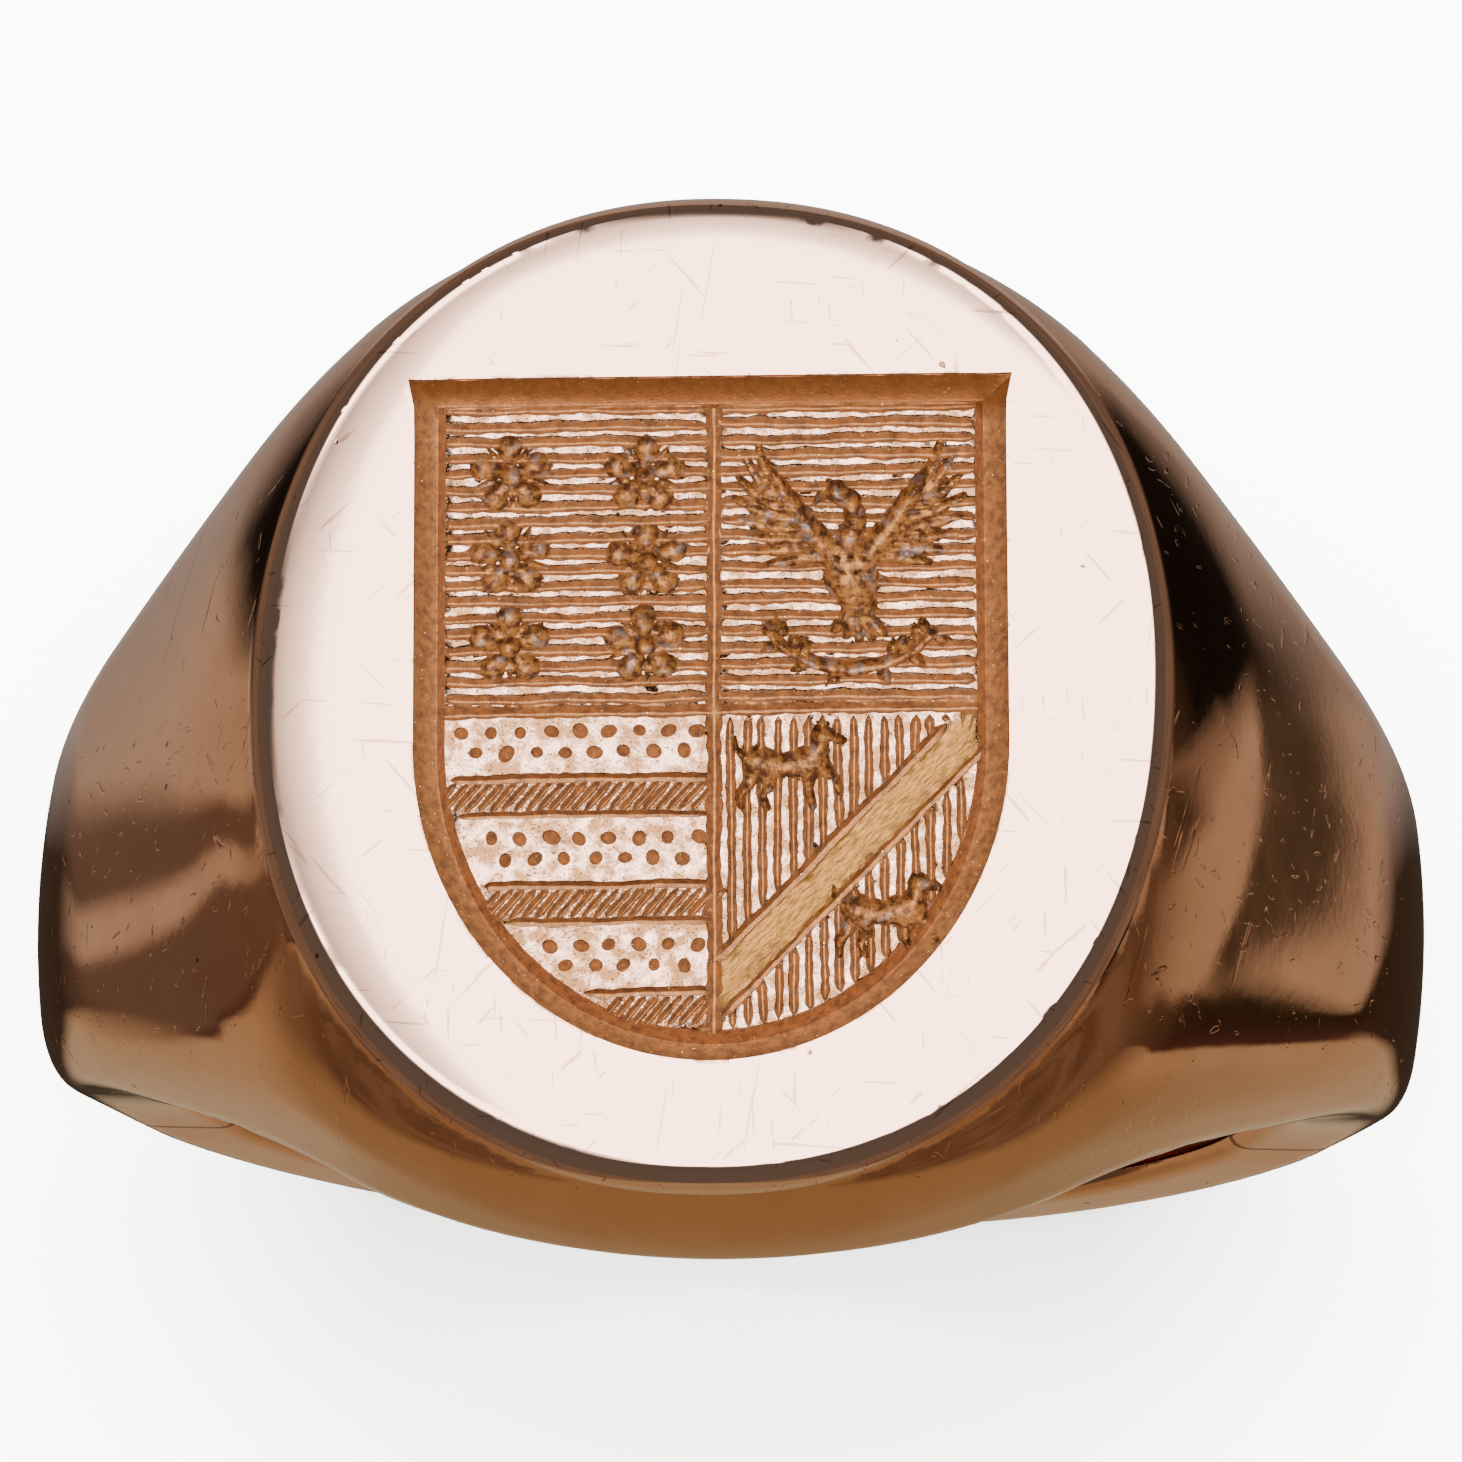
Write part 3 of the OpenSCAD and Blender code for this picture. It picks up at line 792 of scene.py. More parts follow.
def make_plate(s, v):
    """The table plate in millimetres, with its engraving and its bevelled rim."""
    e = Engraving(seed=11)
    cut_border(e, v)
    cut_divisions(e, v)
    cut_level_lines(e, v)
    cut_upright_lines(e, v)
    cut_bars(e, v)
    cut_bend(e, v)
    charges = len(e.cuts)
    cut_roses(e, v)
    cut_bird(e)
    cut_hound(e, 1.24, -1.46, 0.92)
    cut_hound(e, 2.74, -3.9, 0.9)
    rim, bevel = 480, s.rim_bevel
    edge = RIM_A - bevel, RIM_B - bevel

    def oval(i, a, b):
        t = 2 * math.pi * i / rim
        c, n = math.cos(t), math.sin(t)
        p = 2 / s.oval_power
        return (a * math.copysign(abs(c) ** p, c), b * math.copysign(abs(n) ** p, n))

    turn = Matrix.Rotation(v.turn, 2)
    engraved = len(e.points)
    # the plain metal has points 0.32 mm apart, closer along the rim
    loose = [((i + 0.5 * (j % 2)) * 0.32, j * 0.32) for j in range(-26, 27) for i in range(-24, 25)]
    xs, ys = np.array(loose).T
    far = oval_gap(xs, ys, edge[0] - 0.1, edge[1] - 0.1, s.oval_power) < 0
    far &= ~inside_outline(xs, ys, shield_outline(v, -0.2))
    e.points += [p for p, keep in zip(loose, far) if keep]
    for share in (0.91, 0.925, 0.94, 0.955, 0.97, 0.985):
        e.points += [oval(i, edge[0] * share, edge[1] * share) for i in range(rim)]
    e.line([oval(i, *edge) for i in range(rim)], closed=True)
    flat = [turn @ Vector(p) for p in e.points[:engraved]] + [Vector(p) for p in e.points[engraved:]]
    made = geometry.delaunay_2d_cdt(flat, e.edges, [], 0, 1e-4, False)
    verts = np.array([(p.x, p.y) for p in made[0]])
    x, y = verts[:, 0], verts[:, 1]
    back = np.array(turn.transposed())
    x_cut, y_cut = back[0, 0] * x + back[0, 1] * y, back[1, 0] * x + back[1, 1] * y
    deep = e.depth(x_cut, y_cut)
    deep[oval_gap(x, y, edge[0], edge[1], s.oval_power) > -1e-3] = 0
    # the polished table falls away a few hundredths towards its rim
    k = (np.abs(x) / edge[0]) ** 2 + (np.abs(y) / edge[1]) ** 2
    z = TABLE_Z - TABLE_FALL * k - RIM_FALL * (np.clip(k - 0.66, 0, 1) / 0.34) ** 3 - deep
    # the rim: an edge softened by wear, the bevel, the side and the underside
    top_ring = [int(np.argmin((x - px) ** 2 + (y - py) ** 2)) for px,
                py in (oval(i, *edge) for i in range(rim))]
    rim_z = TABLE_Z - TABLE_FALL - RIM_FALL
    side = [(0.10, 0.006), (0.22, 0.02), (0.4, 0.058), (0.6, 0.125), (0.8, 0.21), (1.0, 0.33)]
    rings = [(bevel * (share - 1), rim_z - down) for share, down in side]
    rings += [(0.0, PLATE_BOTTOM + 0.03), (-0.03, PLATE_BOTTOM)]
    points, faces = [tuple(p) for p in np.column_stack([x, y, z])], [tuple(f) for f in made[2]]
    previous = top_ring
    knocks = (0.016, 0.013, 0.01, 0.007, 0.004, 0, 0, 0)
    for k, (out, height) in enumerate(rings):
        first = len(points)
        for i in range(rim):
            # small knocks along the edge
            knock = max(0.0, e.random.gauss(0, 1) - 1.6) * knocks[k]
            px, py = oval(i, RIM_A + out - knock, RIM_B + out - knock)
            points.append((px, py, height - knock))
        ring = list(range(first, first + rim))
        for i in range(rim):
            j = (i + 1) % rim
            faces.append((previous[i], ring[i], ring[j], previous[j]))
        previous = ring
    faces.append(tuple(reversed(previous)))
    mesh = bpy.data.meshes.new("face_plate_gold")
    mesh.from_pydata(points, [], faces)
    mesh.update()
    # what each point is, for the metal: how deep a cut, part of the bend's sunk strip, part of a charge
    cut = np.where(inside_outline(x_cut, y_cut, shield_outline(v, 0)), deep, NO_CUT)
    bend = (np.abs(bend_side(x_cut, y_cut)) < BEND_W / 2 - 0.1) & (np.abs(deep - BEND_DEPTH) < 0.02)
    bend &= (x_cut > 0.15) & (y_cut < v.cross_y - 0.08)
    charge = e.depth(x_cut, y_cut, charges)
    charge = (charge > 0.03) & (charge > deep - 0.02)
    for name, values, rest in (("cut", cut, NO_CUT), ("charge", charge, 0), ("field", bend, 0)):
        whole = np.full(len(points), rest, np.float32)
        whole[:len(deep)] = values
        mesh.attributes.new(name, "FLOAT", "POINT").data.foreach_set("value", whole)
    piece = bpy.data.objects.new("face_plate_gold", mesh)
    bpy.context.scene.collection.objects.link(piece)
    edit_whole(piece, bpy.ops.mesh.normals_make_consistent, inside=False)
    return piece


# ---------------------------------------------------------------- metals

def scratches(tree, place, scale, seed, width):
    """Fine straight scratches in a few directions, as a field from 0 to 1."""
    total = None
    for k in range(5):
        stretch = 0.03 + 0.02 * k    # how short the scratches of this direction are
        turned = add_node(tree, "Mapping", {
            "Vector": place, "Rotation": (0, 0, seed + k * 0.83), "Location": (k * 0.0131, seed * 0.01, 0),
            "Scale": (1 / (scale * stretch), 1 / scale, 3.3 / scale)}, vector_type="TEXTURE")
        streak = add_node(tree, "TexNoise",
                          {"Vector": turned, "Scale": 1.0, "Detail": 2.0, "Roughness": 0.45})
        line = add_node(tree, "MapRange", {"Value": streak, "From Min": 0.715 - width, "From Max": 0.735})
        total = line if total is None else add_node(tree, "Math", {0: total, 1: line}, operation="MAXIMUM")
    return total


def pits(tree, place, per_mm, size, seed):
    """Small round pits, sparse, as a field from 0 to 1."""
    rough = add_node(tree, "TexNoise", {"Vector": place, "Scale": 14000, "Detail": 2.0})
    push = add_node(tree, "VectorMath", {0: rough.outputs["Color"], "Scale": 0.00009}, operation="SCALE")
    moved = add_node(tree, "VectorMath", {0: place, 1: push}, operation="ADD")
    moved = add_node(tree, "Mapping", {"Vector": moved, "Location": (seed, seed * 0.7, 0)})
    cells = add_node(tree, "TexVoronoi", {"Vector": moved, "Scale": per_mm * 1000, "Randomness": 1.0})
    pick = add_node(tree, "SeparateColor", {"Color": cells.outputs["Color"]})
    some = add_node(tree, "MapRange", {"Value": pick, "From Min": 0.62, "From Max": 1.0})
    reach = add_node(tree, "Math", {0: some, 1: size}, operation="MULTIPLY")
    near = add_node(tree, "Math", {0: reach, 1: cells.outputs["Distance"]}, operation="SUBTRACT")
    return add_node(tree, "MapRange", {"Value": near, "From Min": 0.0, "From Max": 0.03})


def table_metal(f):
    """9 carat rose gold, hand polished and worn: a pale pink mirror with hairline scratches and pits. The
    engraved cuts keep the graver's rougher face; their dark brown, a little less metallic, is painted shade
    of the cut walls, with painted glints."""
    material, tree = new_material("rose_gold_polished_engraved")
    place = add_node(tree, "TexCoord").outputs["Object"]
    cut, field, charge = (add_node(tree, "Attribute", attribute_name=name).outputs["Fac"]
                          for name in ("cut", "field", "charge"))
    height = add_node(tree, "SeparateXYZ", {"Vector": place}).outputs["Y"]
    # the painted shade in the cuts varies over about 0.14 mm, the graver's grain over 0.04 mm
    tone = add_node(tree, "TexNoise", {"Vector": place, "Scale": 7000, "Detail": 3.0, "Roughness": 0.6})
    grain = add_node(tree, "TexNoise", {"Vector": place, "Scale": 26000, "Detail": 2.0})
    broken = add_node(tree, "Math", {0: grain, 1: 0.5}, operation="SUBTRACT")
    broken = add_node(tree, "Math", {0: broken, 2: cut, 1: 0.09}, operation="MULTIPLY_ADD")
    deep = add_node(tree, "MapRange", {"Value": broken, "From Min": 0.01, "From Max": 0.03})
    lines = scratches(tree, place, 9000, 1.45, 0.0)
    holes = pits(tree, place, 1.7, 0.1, 0.3)
    open_top = add_node(tree, "Math", {1: deep, 0: 1.0}, operation="SUBTRACT")
    # painted shade: dark browns painted into the cuts stand in for the shade of their walls
    shaded_cut_colour = add_node(tree, "ValToRGB", {"Fac": tone},
                      stops=((0.32, linear("5E3E2A")), (0.62, linear(f.groove))))
    # painted highlights: pale gold sparkles painted into the cuts
    painted_sparkle = add_node(tree, "TexNoise", {"Vector": place, "Scale": 21000, "Detail": 1.0})
    bright = add_node(tree, "MapRange", {"Value": painted_sparkle, "From Min": 0.73, "From Max": 0.80})
    shaded_cut_colour = add_node(tree, "Mix", {"Factor": bright, "A": shaded_cut_colour, "B": linear("F0D08A")}, data_type="RGBA")
    # painted shade: the long channel at the top is painted the darkest
    top_channel_shade = add_node(tree, "MapRange", {"Value": height, "From Min": 0.0045, "From Max": 0.0048,
                                        "To Max": 0.75})
    shaded_cut_colour = add_node(tree, "Mix", {"Factor": top_channel_shade, "A": shaded_cut_colour, "B": linear("5A300F")}, data_type="RGBA")
    # painted shade: the charges are painted darker, as the shade of their deep cuts, with painted grey
    # glints here and there
    charge_shade = add_node(tree, "MapRange", {"Value": tone, "From Min": 0.4, "From Max": 0.6})
    charge_shade = add_node(tree, "Mix", {"Factor": charge_shade, "A": linear("3E2415"), "B": linear("80522A")},
                     data_type="RGBA")
    shaded_cut_colour = add_node(tree, "Mix", {"Factor": charge, "A": shaded_cut_colour, "B": charge_shade}, data_type="RGBA")
    painted_glint = add_node(tree, "TexNoise", {"Vector": place, "Scale": 4200, "Detail": 1.0})
    painted_glint = add_node(tree, "MapRange", {"Value": painted_glint, "From Min": 0.58, "From Max": 0.68, "To Max": 0.35})
    painted_glint = add_node(tree, "Math", {0: painted_glint, 1: charge}, operation="MULTIPLY")
    shaded_cut_colour = add_node(tree, "Mix", {"Factor": painted_glint, "A": shaded_cut_colour, "B": linear("83746E")}, data_type="RGBA")
    # the smooth bend has the long fine lines of the scraper, in browns painted dark as the shade of the sunk
    # strip
    drawn = add_node(tree, "Mapping", {"Vector": place, "Rotation": (0, 0, BEND_TURN),
                                       "Scale": (1 / 5000, 1 / 24000, 1 / 9000)}, vector_type="TEXTURE")
    drawn = add_node(tree, "TexNoise", {"Vector": drawn, "Scale": 1.0, "Detail": 3.0})
    bend_shade = add_node(tree, "MapRange", {"Value": drawn, "From Min": 0.35, "From Max": 0.65})
    bend_shade = add_node(tree, "Mix", {"Factor": bend_shade, "A": linear("5A3C18"), "B": linear("90622E")},
                    data_type="RGBA")
    cut_colour = add_node(tree, "Mix", {"Factor": field, "A": shaded_cut_colour, "B": bend_shade}, data_type="RGBA")
    marked = add_node(tree, "Mix", {"Factor": lines, "A": linear(f.table), "B": linear("B98F78")},
                      data_type="RGBA")
    dirty = add_node(tree, "Mix", {"Factor": holes, "A": marked, "B": linear("7A5438")}, data_type="RGBA")
    # a thin tarnish lies on the narrow ridges between the cuts, more of it towards the foot of the shield
    inside = add_node(tree, "MapRange", {"Value": cut, "From Min": -0.03, "From Max": -0.002})
    low = add_node(tree, "MapRange", {"Value": height, "From Min": 0.005, "From Max": -0.006, "To Min": 0.9,
                                      "To Max": 1.0})
    cloud = add_node(tree, "TexNoise", {"Vector": place, "Scale": 3600, "Detail": 5.0, "Roughness": 0.65})
    cloud = add_node(tree, "MapRange", {"Value": cloud, "From Min": 0.34, "From Max": 0.56})
    for share in (low, inside):
        cloud = add_node(tree, "Math", {0: cloud, 1: share}, operation="MULTIPLY")
    dirty = add_node(tree, "Mix", {"Factor": cloud, "A": dirty, "B": linear("7E5636")}, data_type="RGBA")
    colour = add_node(tree, "Mix", {"Factor": deep, "A": dirty, "B": cut_colour}, data_type="RGBA")
    smooth = add_node(tree, "MapRange", {"Value": tone, "To Min": 0.04, "To Max": 0.09})
    rough = add_node(tree, "Mix", {"Factor": deep, "A": smooth, "B": 0.38})
    film = add_node(tree, "MapRange", {"Value": deep, "To Min": 1.0, "To Max": 0.82})
    dents = add_node(tree, "Math", {0: holes, 1: open_top}, operation="MULTIPLY")
    marks = add_node(tree, "Bump", {"Height": dents, "Strength": 0.35, "Distance": 0.000006}, invert=True)
    rasp = add_node(tree, "Math", {0: grain, 1: deep}, operation="MULTIPLY")
    chatter = add_node(tree, "Bump", {"Height": rasp, "Normal": marks, "Strength": 0.6,
                                      "Distance": 0.000012})
    shade = add_node(tree, "BsdfPrincipled",
                     {"Base Color": colour, "Roughness": rough, "Metallic": film, "Normal": chatter})
    add_node(tree, "OutputMaterial", {"Surface": shade})
    return material


def band_metal(f):
    """9 carat rose gold, worn in: a warm mirror with soft polishing haze, fine scratches and dents."""
    material, tree = new_material("rose_gold_worn_polish")
    place = add_node(tree, "TexCoord").outputs["Object"]
    lines = scratches(tree, place, 6000, 1.3, 0.01)
    holes = pits(tree, place, 1.5, 0.12, 1.7)
    # the polishing haze varies over about a millimetre, the faint ripple of the surface over 0.2 mm
    haze = add_node(tree, "TexNoise", {"Vector": place, "Scale": 900, "Detail": 4.0, "Roughness": 0.6})
    ripple = add_node(tree, "TexNoise", {"Vector": place, "Scale": 5200, "Detail": 2.0})
    # painted shade: the band's gold is painted darker than the table's same gold
    tint = add_node(tree, "Mix", {"Factor": haze, "A": linear(f.band), "B": linear("C48A66")},
                    data_type="RGBA")
    colour = add_node(tree, "Mix", {"Factor": holes, "A": tint, "B": linear("4A3020")}, data_type="RGBA")
    rough = add_node(tree, "MapRange", {"Value": haze, "From Min": 0.3, "From Max": 0.7, "To Min": 0.05,
                                        "To Max": 0.11})
    marks = add_node(tree, "Math", {0: lines, 1: holes}, operation="ADD")
    bump = add_node(tree, "Bump", {"Height": marks, "Strength": 0.4, "Distance": 0.000008}, invert=True)
    peel = add_node(tree, "Bump", {"Height": ripple, "Normal": bump, "Strength": 0.04, "Distance": 0.00002})
    shade = add_node(tree, "BsdfPrincipled",
                     {"Base Color": colour, "Roughness": rough, "Normal": peel, "Metallic": 1.0})
    add_node(tree, "OutputMaterial", {"Surface": shade})
    return material


def solder_metal(f):
    """Hard gold solder, left a little dull in the joint."""
    material, tree = new_material("gold_solder_dull")
    place = add_node(tree, "TexCoord").outputs["Object"]
    # spots about a quarter of a millimetre across
    spots = add_node(tree, "TexNoise", {"Vector": place, "Scale": 4000, "Detail": 3.0})
    colour = add_node(tree, "Mix", {"Factor": spots, "A": linear(f.solder), "B": linear("6E4A38")},
                      data_type="RGBA")
    shade = add_node(tree, "BsdfPrincipled", {"Base Color": colour, "Metallic": 1.0, "Roughness": 0.4})
    add_node(tree, "OutputMaterial", {"Surface": shade})
    return material


SOFTBOX_PLACE = (0.048, 0.002, 0.30)    # metres, over the right side of the table
SOFTBOX_SIZE = (0.16, 0.275)
CARD_LOW, CARD_HIGH = -32, 36           # mm along the finger that the bands of the card span


def cloth_material():
    """White cloth that glows instead of being lit: painted light, brightest beside the lamp and fading out
    over a few centimetres.
    """
    material, tree = new_material("white_softbox_cloth")
    place = add_node(tree, "TexCoord").outputs["Object"]
    axis = add_node(tree, "SeparateXYZ", {"Vector": place})
    over = {}
    for k in (0, 1):
        size = add_node(tree, "Math", {0: axis.outputs[k]}, operation="ABSOLUTE")
        past = add_node(tree, "Math", {0: size, 1: SOFTBOX_SIZE[k] / 2}, operation="SUBTRACT")
        over[k] = add_node(tree, "Math", {0: past, 1: 0.0}, operation="MAXIMUM")
    far = add_node(tree, "VectorMath", {0: add_node(tree, "CombineXYZ", over)}, operation="LENGTH")
    fade = add_node(tree, "MapRange", {"Value": far, "From Min": 0.0, "From Max": 0.055, "To Min": 1.0,
                                       "To Max": 0.0})
    curve = add_node(tree, "Math", {0: fade, 1: 2.4}, operation="POWER")
    bright = add_node(tree, "Math", {0: curve, 1: 3.75, 2: 0.13}, operation="MULTIPLY_ADD")
    glow = add_node(tree, "Emission", {"Strength": bright, "Color": linear("FFFFFF")})
    add_node(tree, "OutputMaterial", {"Surface": glow})
    return material


def card_material():
    """Glowing card, banded in greys and browns with soft edges, that paints the reflections in the
    shoulders. It glows instead of being lit, so its colours are amounts of light."""
    tan, brown, black = (0.62, 0.53, 0.42), (0.185, 0.14, 0.11), (0.012, 0.011, 0.009)
    green, warm = (0.035, 0.028, 0.015), (0.45, 0.37, 0.22)
    light, plum = (0.60, 0.50, 0.33), (0.09, 0.045, 0.045)
    material, tree = new_material("matt_studio_card")
    place = add_node(tree, "TexCoord").outputs["Object"]
    wave = add_node(tree, "TexNoise", {"Vector": place, "Scale": 95, "Detail": 2.0})
    shift = add_node(tree, "VectorMath", {0: wave.outputs["Color"], 1: (0.5, 0.5, 0.5)},
                     operation="SUBTRACT")
    shift = add_node(tree, "VectorMath", {0: shift, "Scale": 0.004}, operation="SCALE")
    moved = add_node(tree, "VectorMath", {0: place, 1: shift}, operation="ADD")
    axis = add_node(tree, "SeparateXYZ", {"Vector": moved})
    x, y = axis.outputs[0], axis.outputs[1]
    # the bands on the right lie slantwise
    lean = add_node(tree, "Math", {0: x, 1: 0.031}, operation="SUBTRACT")
    slope = add_node(tree, "MapRange", {"Value": y, "From Min": 0.008, "From Max": 0.013, "To Min": 0.4,
                                        "To Max": 0.0})
    lean = add_node(tree, "Math", {0: lean, 1: slope, 2: y}, operation="MULTIPLY_ADD")
    left = ((-32, warm), (-15, warm), (-9, light), (-5.6, light), (-4.7, plum), (-3.6, brown), (2.5, brown),
            (3.2, tan), (4.5, tan), (5.4, brown), (7.4, brown), (8.8, tan), (15, tan), (17,
                                                                                        (0.2, 0.18, 0.16)),
            (18.6, black), (27, black), (33, brown))
    right = ((-32, warm), (-15, warm), (-9, light), (-6.1, light), (-5.3, plum), (0.4, green), (1.6, tan),
             (11.5, tan), (13, (0.3, 0.25, 0.2)), (14.4, black), (29, black), (35, brown))
    sides = []
    for where, bands in ((y, left), (lean, right)):
        along = add_node(tree, "MapRange",
                         {"Value": where, "From Min": CARD_LOW * MM, "From Max": CARD_HIGH * MM})
        stops = [((at - CARD_LOW) / (CARD_HIGH - CARD_LOW), (*tone, 1)) for at, tone in bands]
        sides.append(add_node(tree, "ValToRGB", {"Fac": along}, stops=stops))
    is_right = add_node(tree, "MapRange", {"Value": x, "From Min": -0.004, "From Max": 0.004})
    colour = add_node(tree, "Mix", {"Factor": is_right, "A": sides[0], "B": sides[1]}, data_type="RGBA")
    # painted reflection: a dark band that runs slantwise across the light zone on the right
    slant = add_node(tree, "VectorMath", {0: moved, 1: (0.772, 0.635, 0)}, operation="DOT_PRODUCT")
    slant = add_node(tree, "Math", {0: slant, 1: 0.0279}, operation="SUBTRACT")
    slant = add_node(tree, "Math", {0: slant}, operation="ABSOLUTE")
    dark_reflection_band = add_node(tree, "MapRange",
                      {"Value": slant, "From Min": 0.0024, "From Max": 0.0012, "To Max": 0.9})
    ahead = add_node(tree, "MapRange", {"Value": y, "From Min": -0.0045, "From Max": 0.001})
    for share in (is_right, ahead):
        dark_reflection_band = add_node(tree, "Math", {0: dark_reflection_band, 1: share}, operation="MULTIPLY")
    colour = add_node(tree, "Mix", {"Factor": dark_reflection_band, "A": colour, "B": (*green, 1)}, data_type="RGBA")
    size = add_node(tree, "Math", {0: x}, operation="ABSOLUTE")
    # straight in front of the ring the card is warmer
    centre = add_node(tree, "MapRange", {"Value": size, "From Min": 0.016, "From Max": 0.011})
    front = add_node(tree, "MapRange", {"Value": y, "From Min": -0.004, "From Max": -0.007})
    centre = add_node(tree, "Math", {0: centre, 1: front}, operation="MULTIPLY")
    colour = add_node(tree, "Mix", {"Factor": centre, "A": colour, "B": (*warm, 1)}, data_type="RGBA")
    # close in under the limb of the ring, dark in front and pale behind
    near = add_node(tree, "MapRange", {"Value": size, "From Min": 0.026, "From Max": 0.020})
    behind = add_node(tree, "MapRange", {"Value": y, "From Min": 0.0055, "From Max": 0.009})
    limb = add_node(tree, "Mix", {"Factor": behind, "A": (0.055, 0.04, 0.028, 1),
                                  "B": (0.46, 0.42, 0.38, 1)}, data_type="RGBA")
    front = add_node(tree, "MapRange", {"Value": y, "From Min": -0.0022, "From Max": -0.001})
    limb = add_node(tree, "Mix", {"Factor": front, "B": limb, "A": (*light, 1)}, data_type="RGBA")
    under = add_node(tree, "MapRange", {"Value": y, "From Min": -0.008, "From Max": -0.005})
    near = add_node(tree, "Math", {0: near, 1: under}, operation="MULTIPLY")
    colour = add_node(tree, "Mix", {"Factor": near, "A": colour, "B": limb}, data_type="RGBA")
    # further out the card is a mottled brown
    far = add_node(tree, "MapRange", {"Value": size, "From Min": 0.042, "From Max": 0.06})
    patches = add_node(tree, "TexNoise", {"Vector": place, "Scale": 38, "Detail": 3.0})
    around = add_node(tree, "ValToRGB", {"Fac": patches},
                      stops=((0.40, (0.17, 0.125, 0.09, 1)), (0.60, (0.27, 0.21, 0.16, 1))))
    colour = add_node(tree, "Mix", {"Factor": far, "A": colour, "B": around}, data_type="RGBA")
    glow = add_node(tree, "Emission", {"Color": colour, "Strength": 1.0})
    add_node(tree, "OutputMaterial", {"Surface": glow})
    return material


# ---------------------------------------------------------------- operators

class RING_OT_band(bpy.types.Operator):
    """Makes the head with its shoulders, the shank and the solder in the two joints"""
    bl_idname = "ring.band"
    bl_label = "Band"

    def execute(self, context):
        s = context.scene.ring_sizes
        f = context.scene.ring_finish
        gold, solder = band_metal(f), solder_metal(f)
        head = make_band(s)
        shank, film = twin(head), twin(head)
        cut_level(head, JOINT_TOP, True)
        cut_level(head, SEAT_Z, False)
        cut_level(shank, JOINT_BOTTOM, False)
        cut_level(film, JOINT_BOTTOM, True)
        cut_level(film, JOINT_TOP, False)
        other = twin(film)
        for piece, right in ((film, False), (other, True)):
            edit_whole(piece, bpy.ops.mesh.bisect, plane_co=(0, 0, 0), plane_no=(1, 0, 0),
                       clear_inner=right, clear_outer=not right)
        finish_piece(head, "head_gold", gold, "head")
        finish_piece(shank, "shank_gold", gold, "shank")
        finish_piece(film, "shank_solder_left_film", solder, "shank_solder_left")
        finish_piece(other, "shank_solder_right_film", solder, "shank_solder_right")
        return {"FINISHED"}


class RING_OT_plate(bpy.types.Operator):
    """Makes the oval table plate with the engraved shield"""
    bl_idname = "ring.plate"
    bl_label = "Table plate"

    def execute(self, context):
        piece = make_plate(context.scene.ring_sizes, context.scene.shield_sizes)
        gold = table_metal(context.scene.ring_finish)
        finish_piece(piece, "face_plate_gold", gold, "face_plate", angle=26)
        return {"FINISHED"}


class RING_OT_face_solder(bpy.types.Operator):
    """Makes the solder layer under the table plate"""
    bl_idname = "ring.face_solder"
    bl_label = "Plate solder"

    def execute(self, context):
        power = 2 / context.scene.ring_sizes.oval_power
        a, b = solder_high[0] / MM, solder_high[1] / MM
        low, high = solder_low[2] / MM, solder_high[2] / MM
        only()
        bpy.ops.mesh.primitive_circle_add(vertices=240, radius=1, fill_type="NGON", location=(0, 0, low))
        piece = context.object
        bpy.ops.object.transform_apply(location=True, rotation=True, scale=True)
        for vertex in piece.data.vertices:
            x, y = vertex.co.x, vertex.co.y
            vertex.co.x = a * math.copysign(abs(x) ** power, x)
            vertex.co.y = b * math.copysign(abs(y) ** power, y)
        bpy.ops.object.mode_set(mode="EDIT")
        bpy.ops.mesh.select_all(action="SELECT")
        bpy.ops.mesh.extrude_region_move(TRANSFORM_OT_translate={"value": (0, 0, high - low)})
        bpy.ops.mesh.inset(thickness=0.02, depth=0)
        bpy.ops.object.mode_set(mode="OBJECT")
        edit_whole(piece, bpy.ops.mesh.normals_make_consistent, inside=False)
        solder = solder_metal(context.scene.ring_finish)
        finish_piece(piece, "face_solder_film", solder, "face_solder")
        return {"FINISHED"}


def stage_card(name, size, place, material, only_in_polish, **turned):
    """A flat card of the studio, which may be seen in reflections only."""
    only()
    bpy.ops.mesh.primitive_plane_add(size=size, location=place, **turned)
    card = bpy.context.object
    card.name = name
    card.data.materials.append(material)
    if only_in_polish:
        card.visible_camera = card.visible_diffuse = card.visible_shadow = card.visible_transmission = False


def area_lamp(name, where, size, power):
    """A rectangular lamp that shines straight down."""
    light = bpy.data.lights.new(name, "AREA")
    light.shape = "RECTANGLE"
    light.size, light.size_y = size
    light.energy = power
    lamp = bpy.data.objects.new(name, light)
    bpy.context.scene.collection.objects.link(lamp)
    lamp.location = where
    return lamp


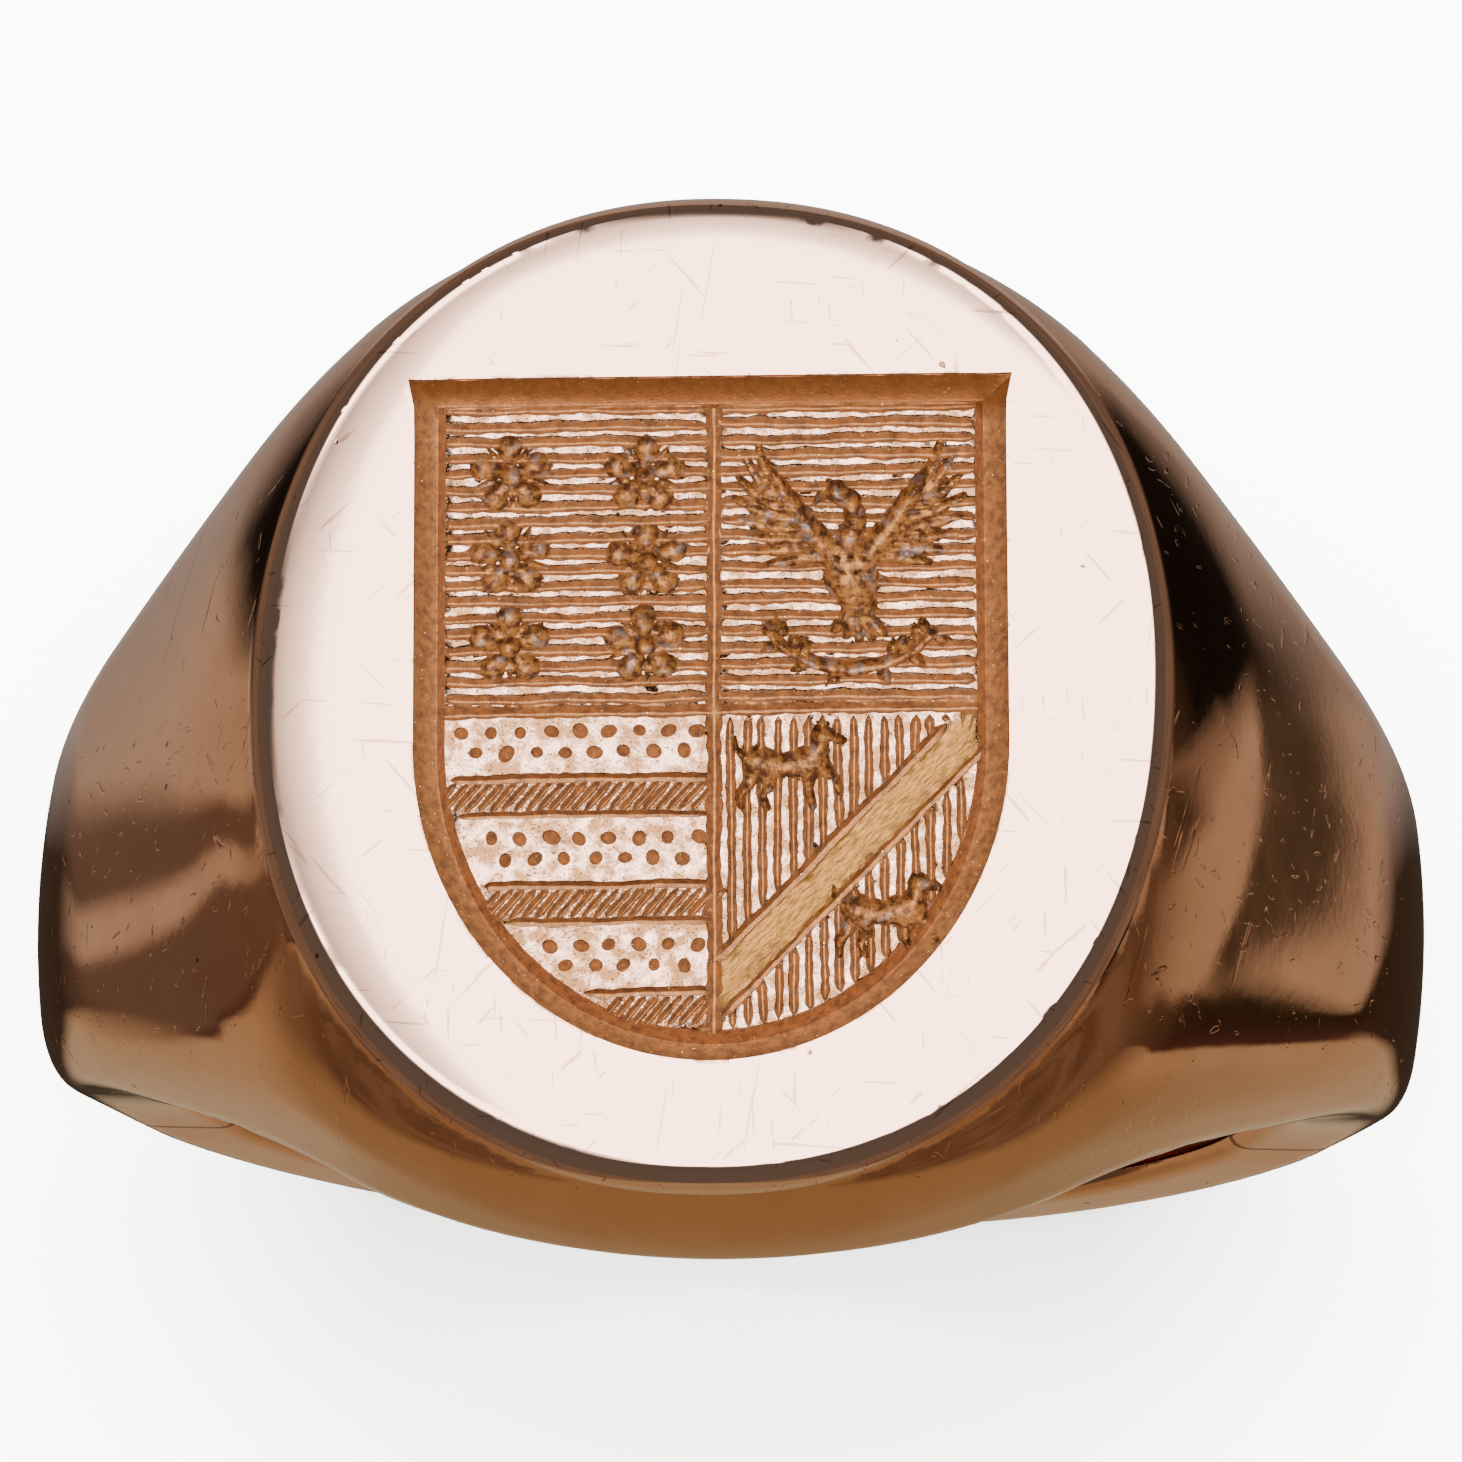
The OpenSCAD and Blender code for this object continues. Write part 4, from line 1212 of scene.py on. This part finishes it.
class RING_OT_stage(bpy.types.Operator):
    """Sets the floor, the lights and the camera"""
    bl_idname = "ring.stage"
    bl_label = "Stage"

    def execute(self, context):
        scene = context.scene
        floor_z = cad_box[0][2]
        floor_size = 4.0
        pale = linear("F4F3F1")
        material, tree = new_material("pale_card")
        shade = add_node(tree, "BsdfPrincipled",
                         {"Base Color": pale, "Roughness": 0.8, "Specular IOR Level": 0.1})
        add_node(tree, "OutputMaterial", {"Surface": shade})
        stage_card("floor", floor_size, (0, 0, floor_z), material, False)

        # a dim grey room in the polish, and a pale wall behind the ring when looked at from the side
        world = bpy.data.worlds.new("studio")
        world.use_nodes = True
        tree = world.node_tree
        seen = add_node(tree, "LightPath").outputs["Is Camera Ray"]
        wall = add_node(tree, "Mix", {"Factor": seen, "A": linear("6A6862"), "B": pale}, data_type="RGBA")
        tree.links.new(wall.outputs[2], tree.nodes["Background"].inputs["Color"])
        scene.world = world

        area_lamp("softbox", SOFTBOX_PLACE, SOFTBOX_SIZE, 0.60)
        area_lamp("room_light", (0, 0, 1.2), (1.6, 1.6), 300).visible_glossy = False
        # the glowing cloth round the softbox, painted light that fades out towards the edge
        x, y, z = SOFTBOX_PLACE
        stage_card("softbox_cloth_card", 0.8, (x, y, z + 0.002), cloth_material(), True,
                   rotation=(math.pi, 0, 0))
        # a glowing card just over the floor, seen only in the polish, paints the dark and light reflected
        # bands of the shoulders
        stage_card("reflection_card", floor_size, (0, 0, floor_z + 0.0004), card_material(), True)

        # the camera looks down on the table from in front, a little from the left and a little rolled
        turn, rise, roll = math.radians(6.0), math.radians(71.0), math.radians(4.53)
        distance, aim_up = 0.220, 0.003375
        across = Vector((math.cos(turn), math.sin(turn), 0))
        up = Vector((-math.sin(turn) * math.sin(rise), math.cos(turn) * math.sin(rise), math.cos(rise)))
        place = across.cross(up) * distance
        cam_y = across * math.sin(roll) + up * math.cos(roll)
        back = (place - cam_y * aim_up).normalized()
        cam_x = cam_y.cross(back).normalized()
        cam_y = back.cross(cam_x)
        camera = bpy.data.objects.new("camera", bpy.data.cameras.new("camera"))
        scene.collection.objects.link(camera)
        rows = [(cam_x[k], cam_y[k], back[k], place[k]) for k in range(3)]
        camera.matrix_world = Matrix((*rows, (0, 0, 0, 1)))
        camera.data.lens = 329
        camera.data.sensor_width = 36
        camera.data.clip_start, camera.data.clip_end = 0.01, 10
        scene.camera = camera
        return {"FINISHED"}


class RING_PT_panel(bpy.types.Panel):
    """Lists the steps that build the ring"""
    bl_idname = "RING_PT_panel"
    bl_label = "Signet ring"
    bl_space_type = "VIEW_3D"
    bl_region_type = "UI"
    bl_category = "Ring"

    def draw(self, context):
        for operator in (RING_OT_band, RING_OT_plate, RING_OT_face_solder, RING_OT_stage):
            self.layout.operator(operator.bl_idname)


CLASSES = (RingSizes, ShieldSizes, RingFinish, RING_OT_band, RING_OT_plate, RING_OT_face_solder,
           RING_OT_stage,
           RING_PT_panel)


def register():
    for kind in CLASSES:
        bpy.utils.register_class(kind)
    bpy.types.Scene.ring_sizes = bpy.props.PointerProperty(type=RingSizes)
    bpy.types.Scene.shield_sizes = bpy.props.PointerProperty(type=ShieldSizes)
    bpy.types.Scene.ring_finish = bpy.props.PointerProperty(type=RingFinish)


def unregister():
    del bpy.types.Scene.ring_finish
    del bpy.types.Scene.shield_sizes
    del bpy.types.Scene.ring_sizes
    for kind in reversed(CLASSES):
        bpy.utils.unregister_class(kind)


def main():
    register()
    bpy.ops.ring.stage()
    bpy.ops.ring.band()
    bpy.ops.ring.face_solder()
    bpy.ops.ring.plate()


if __name__ == "__main__":
    main()
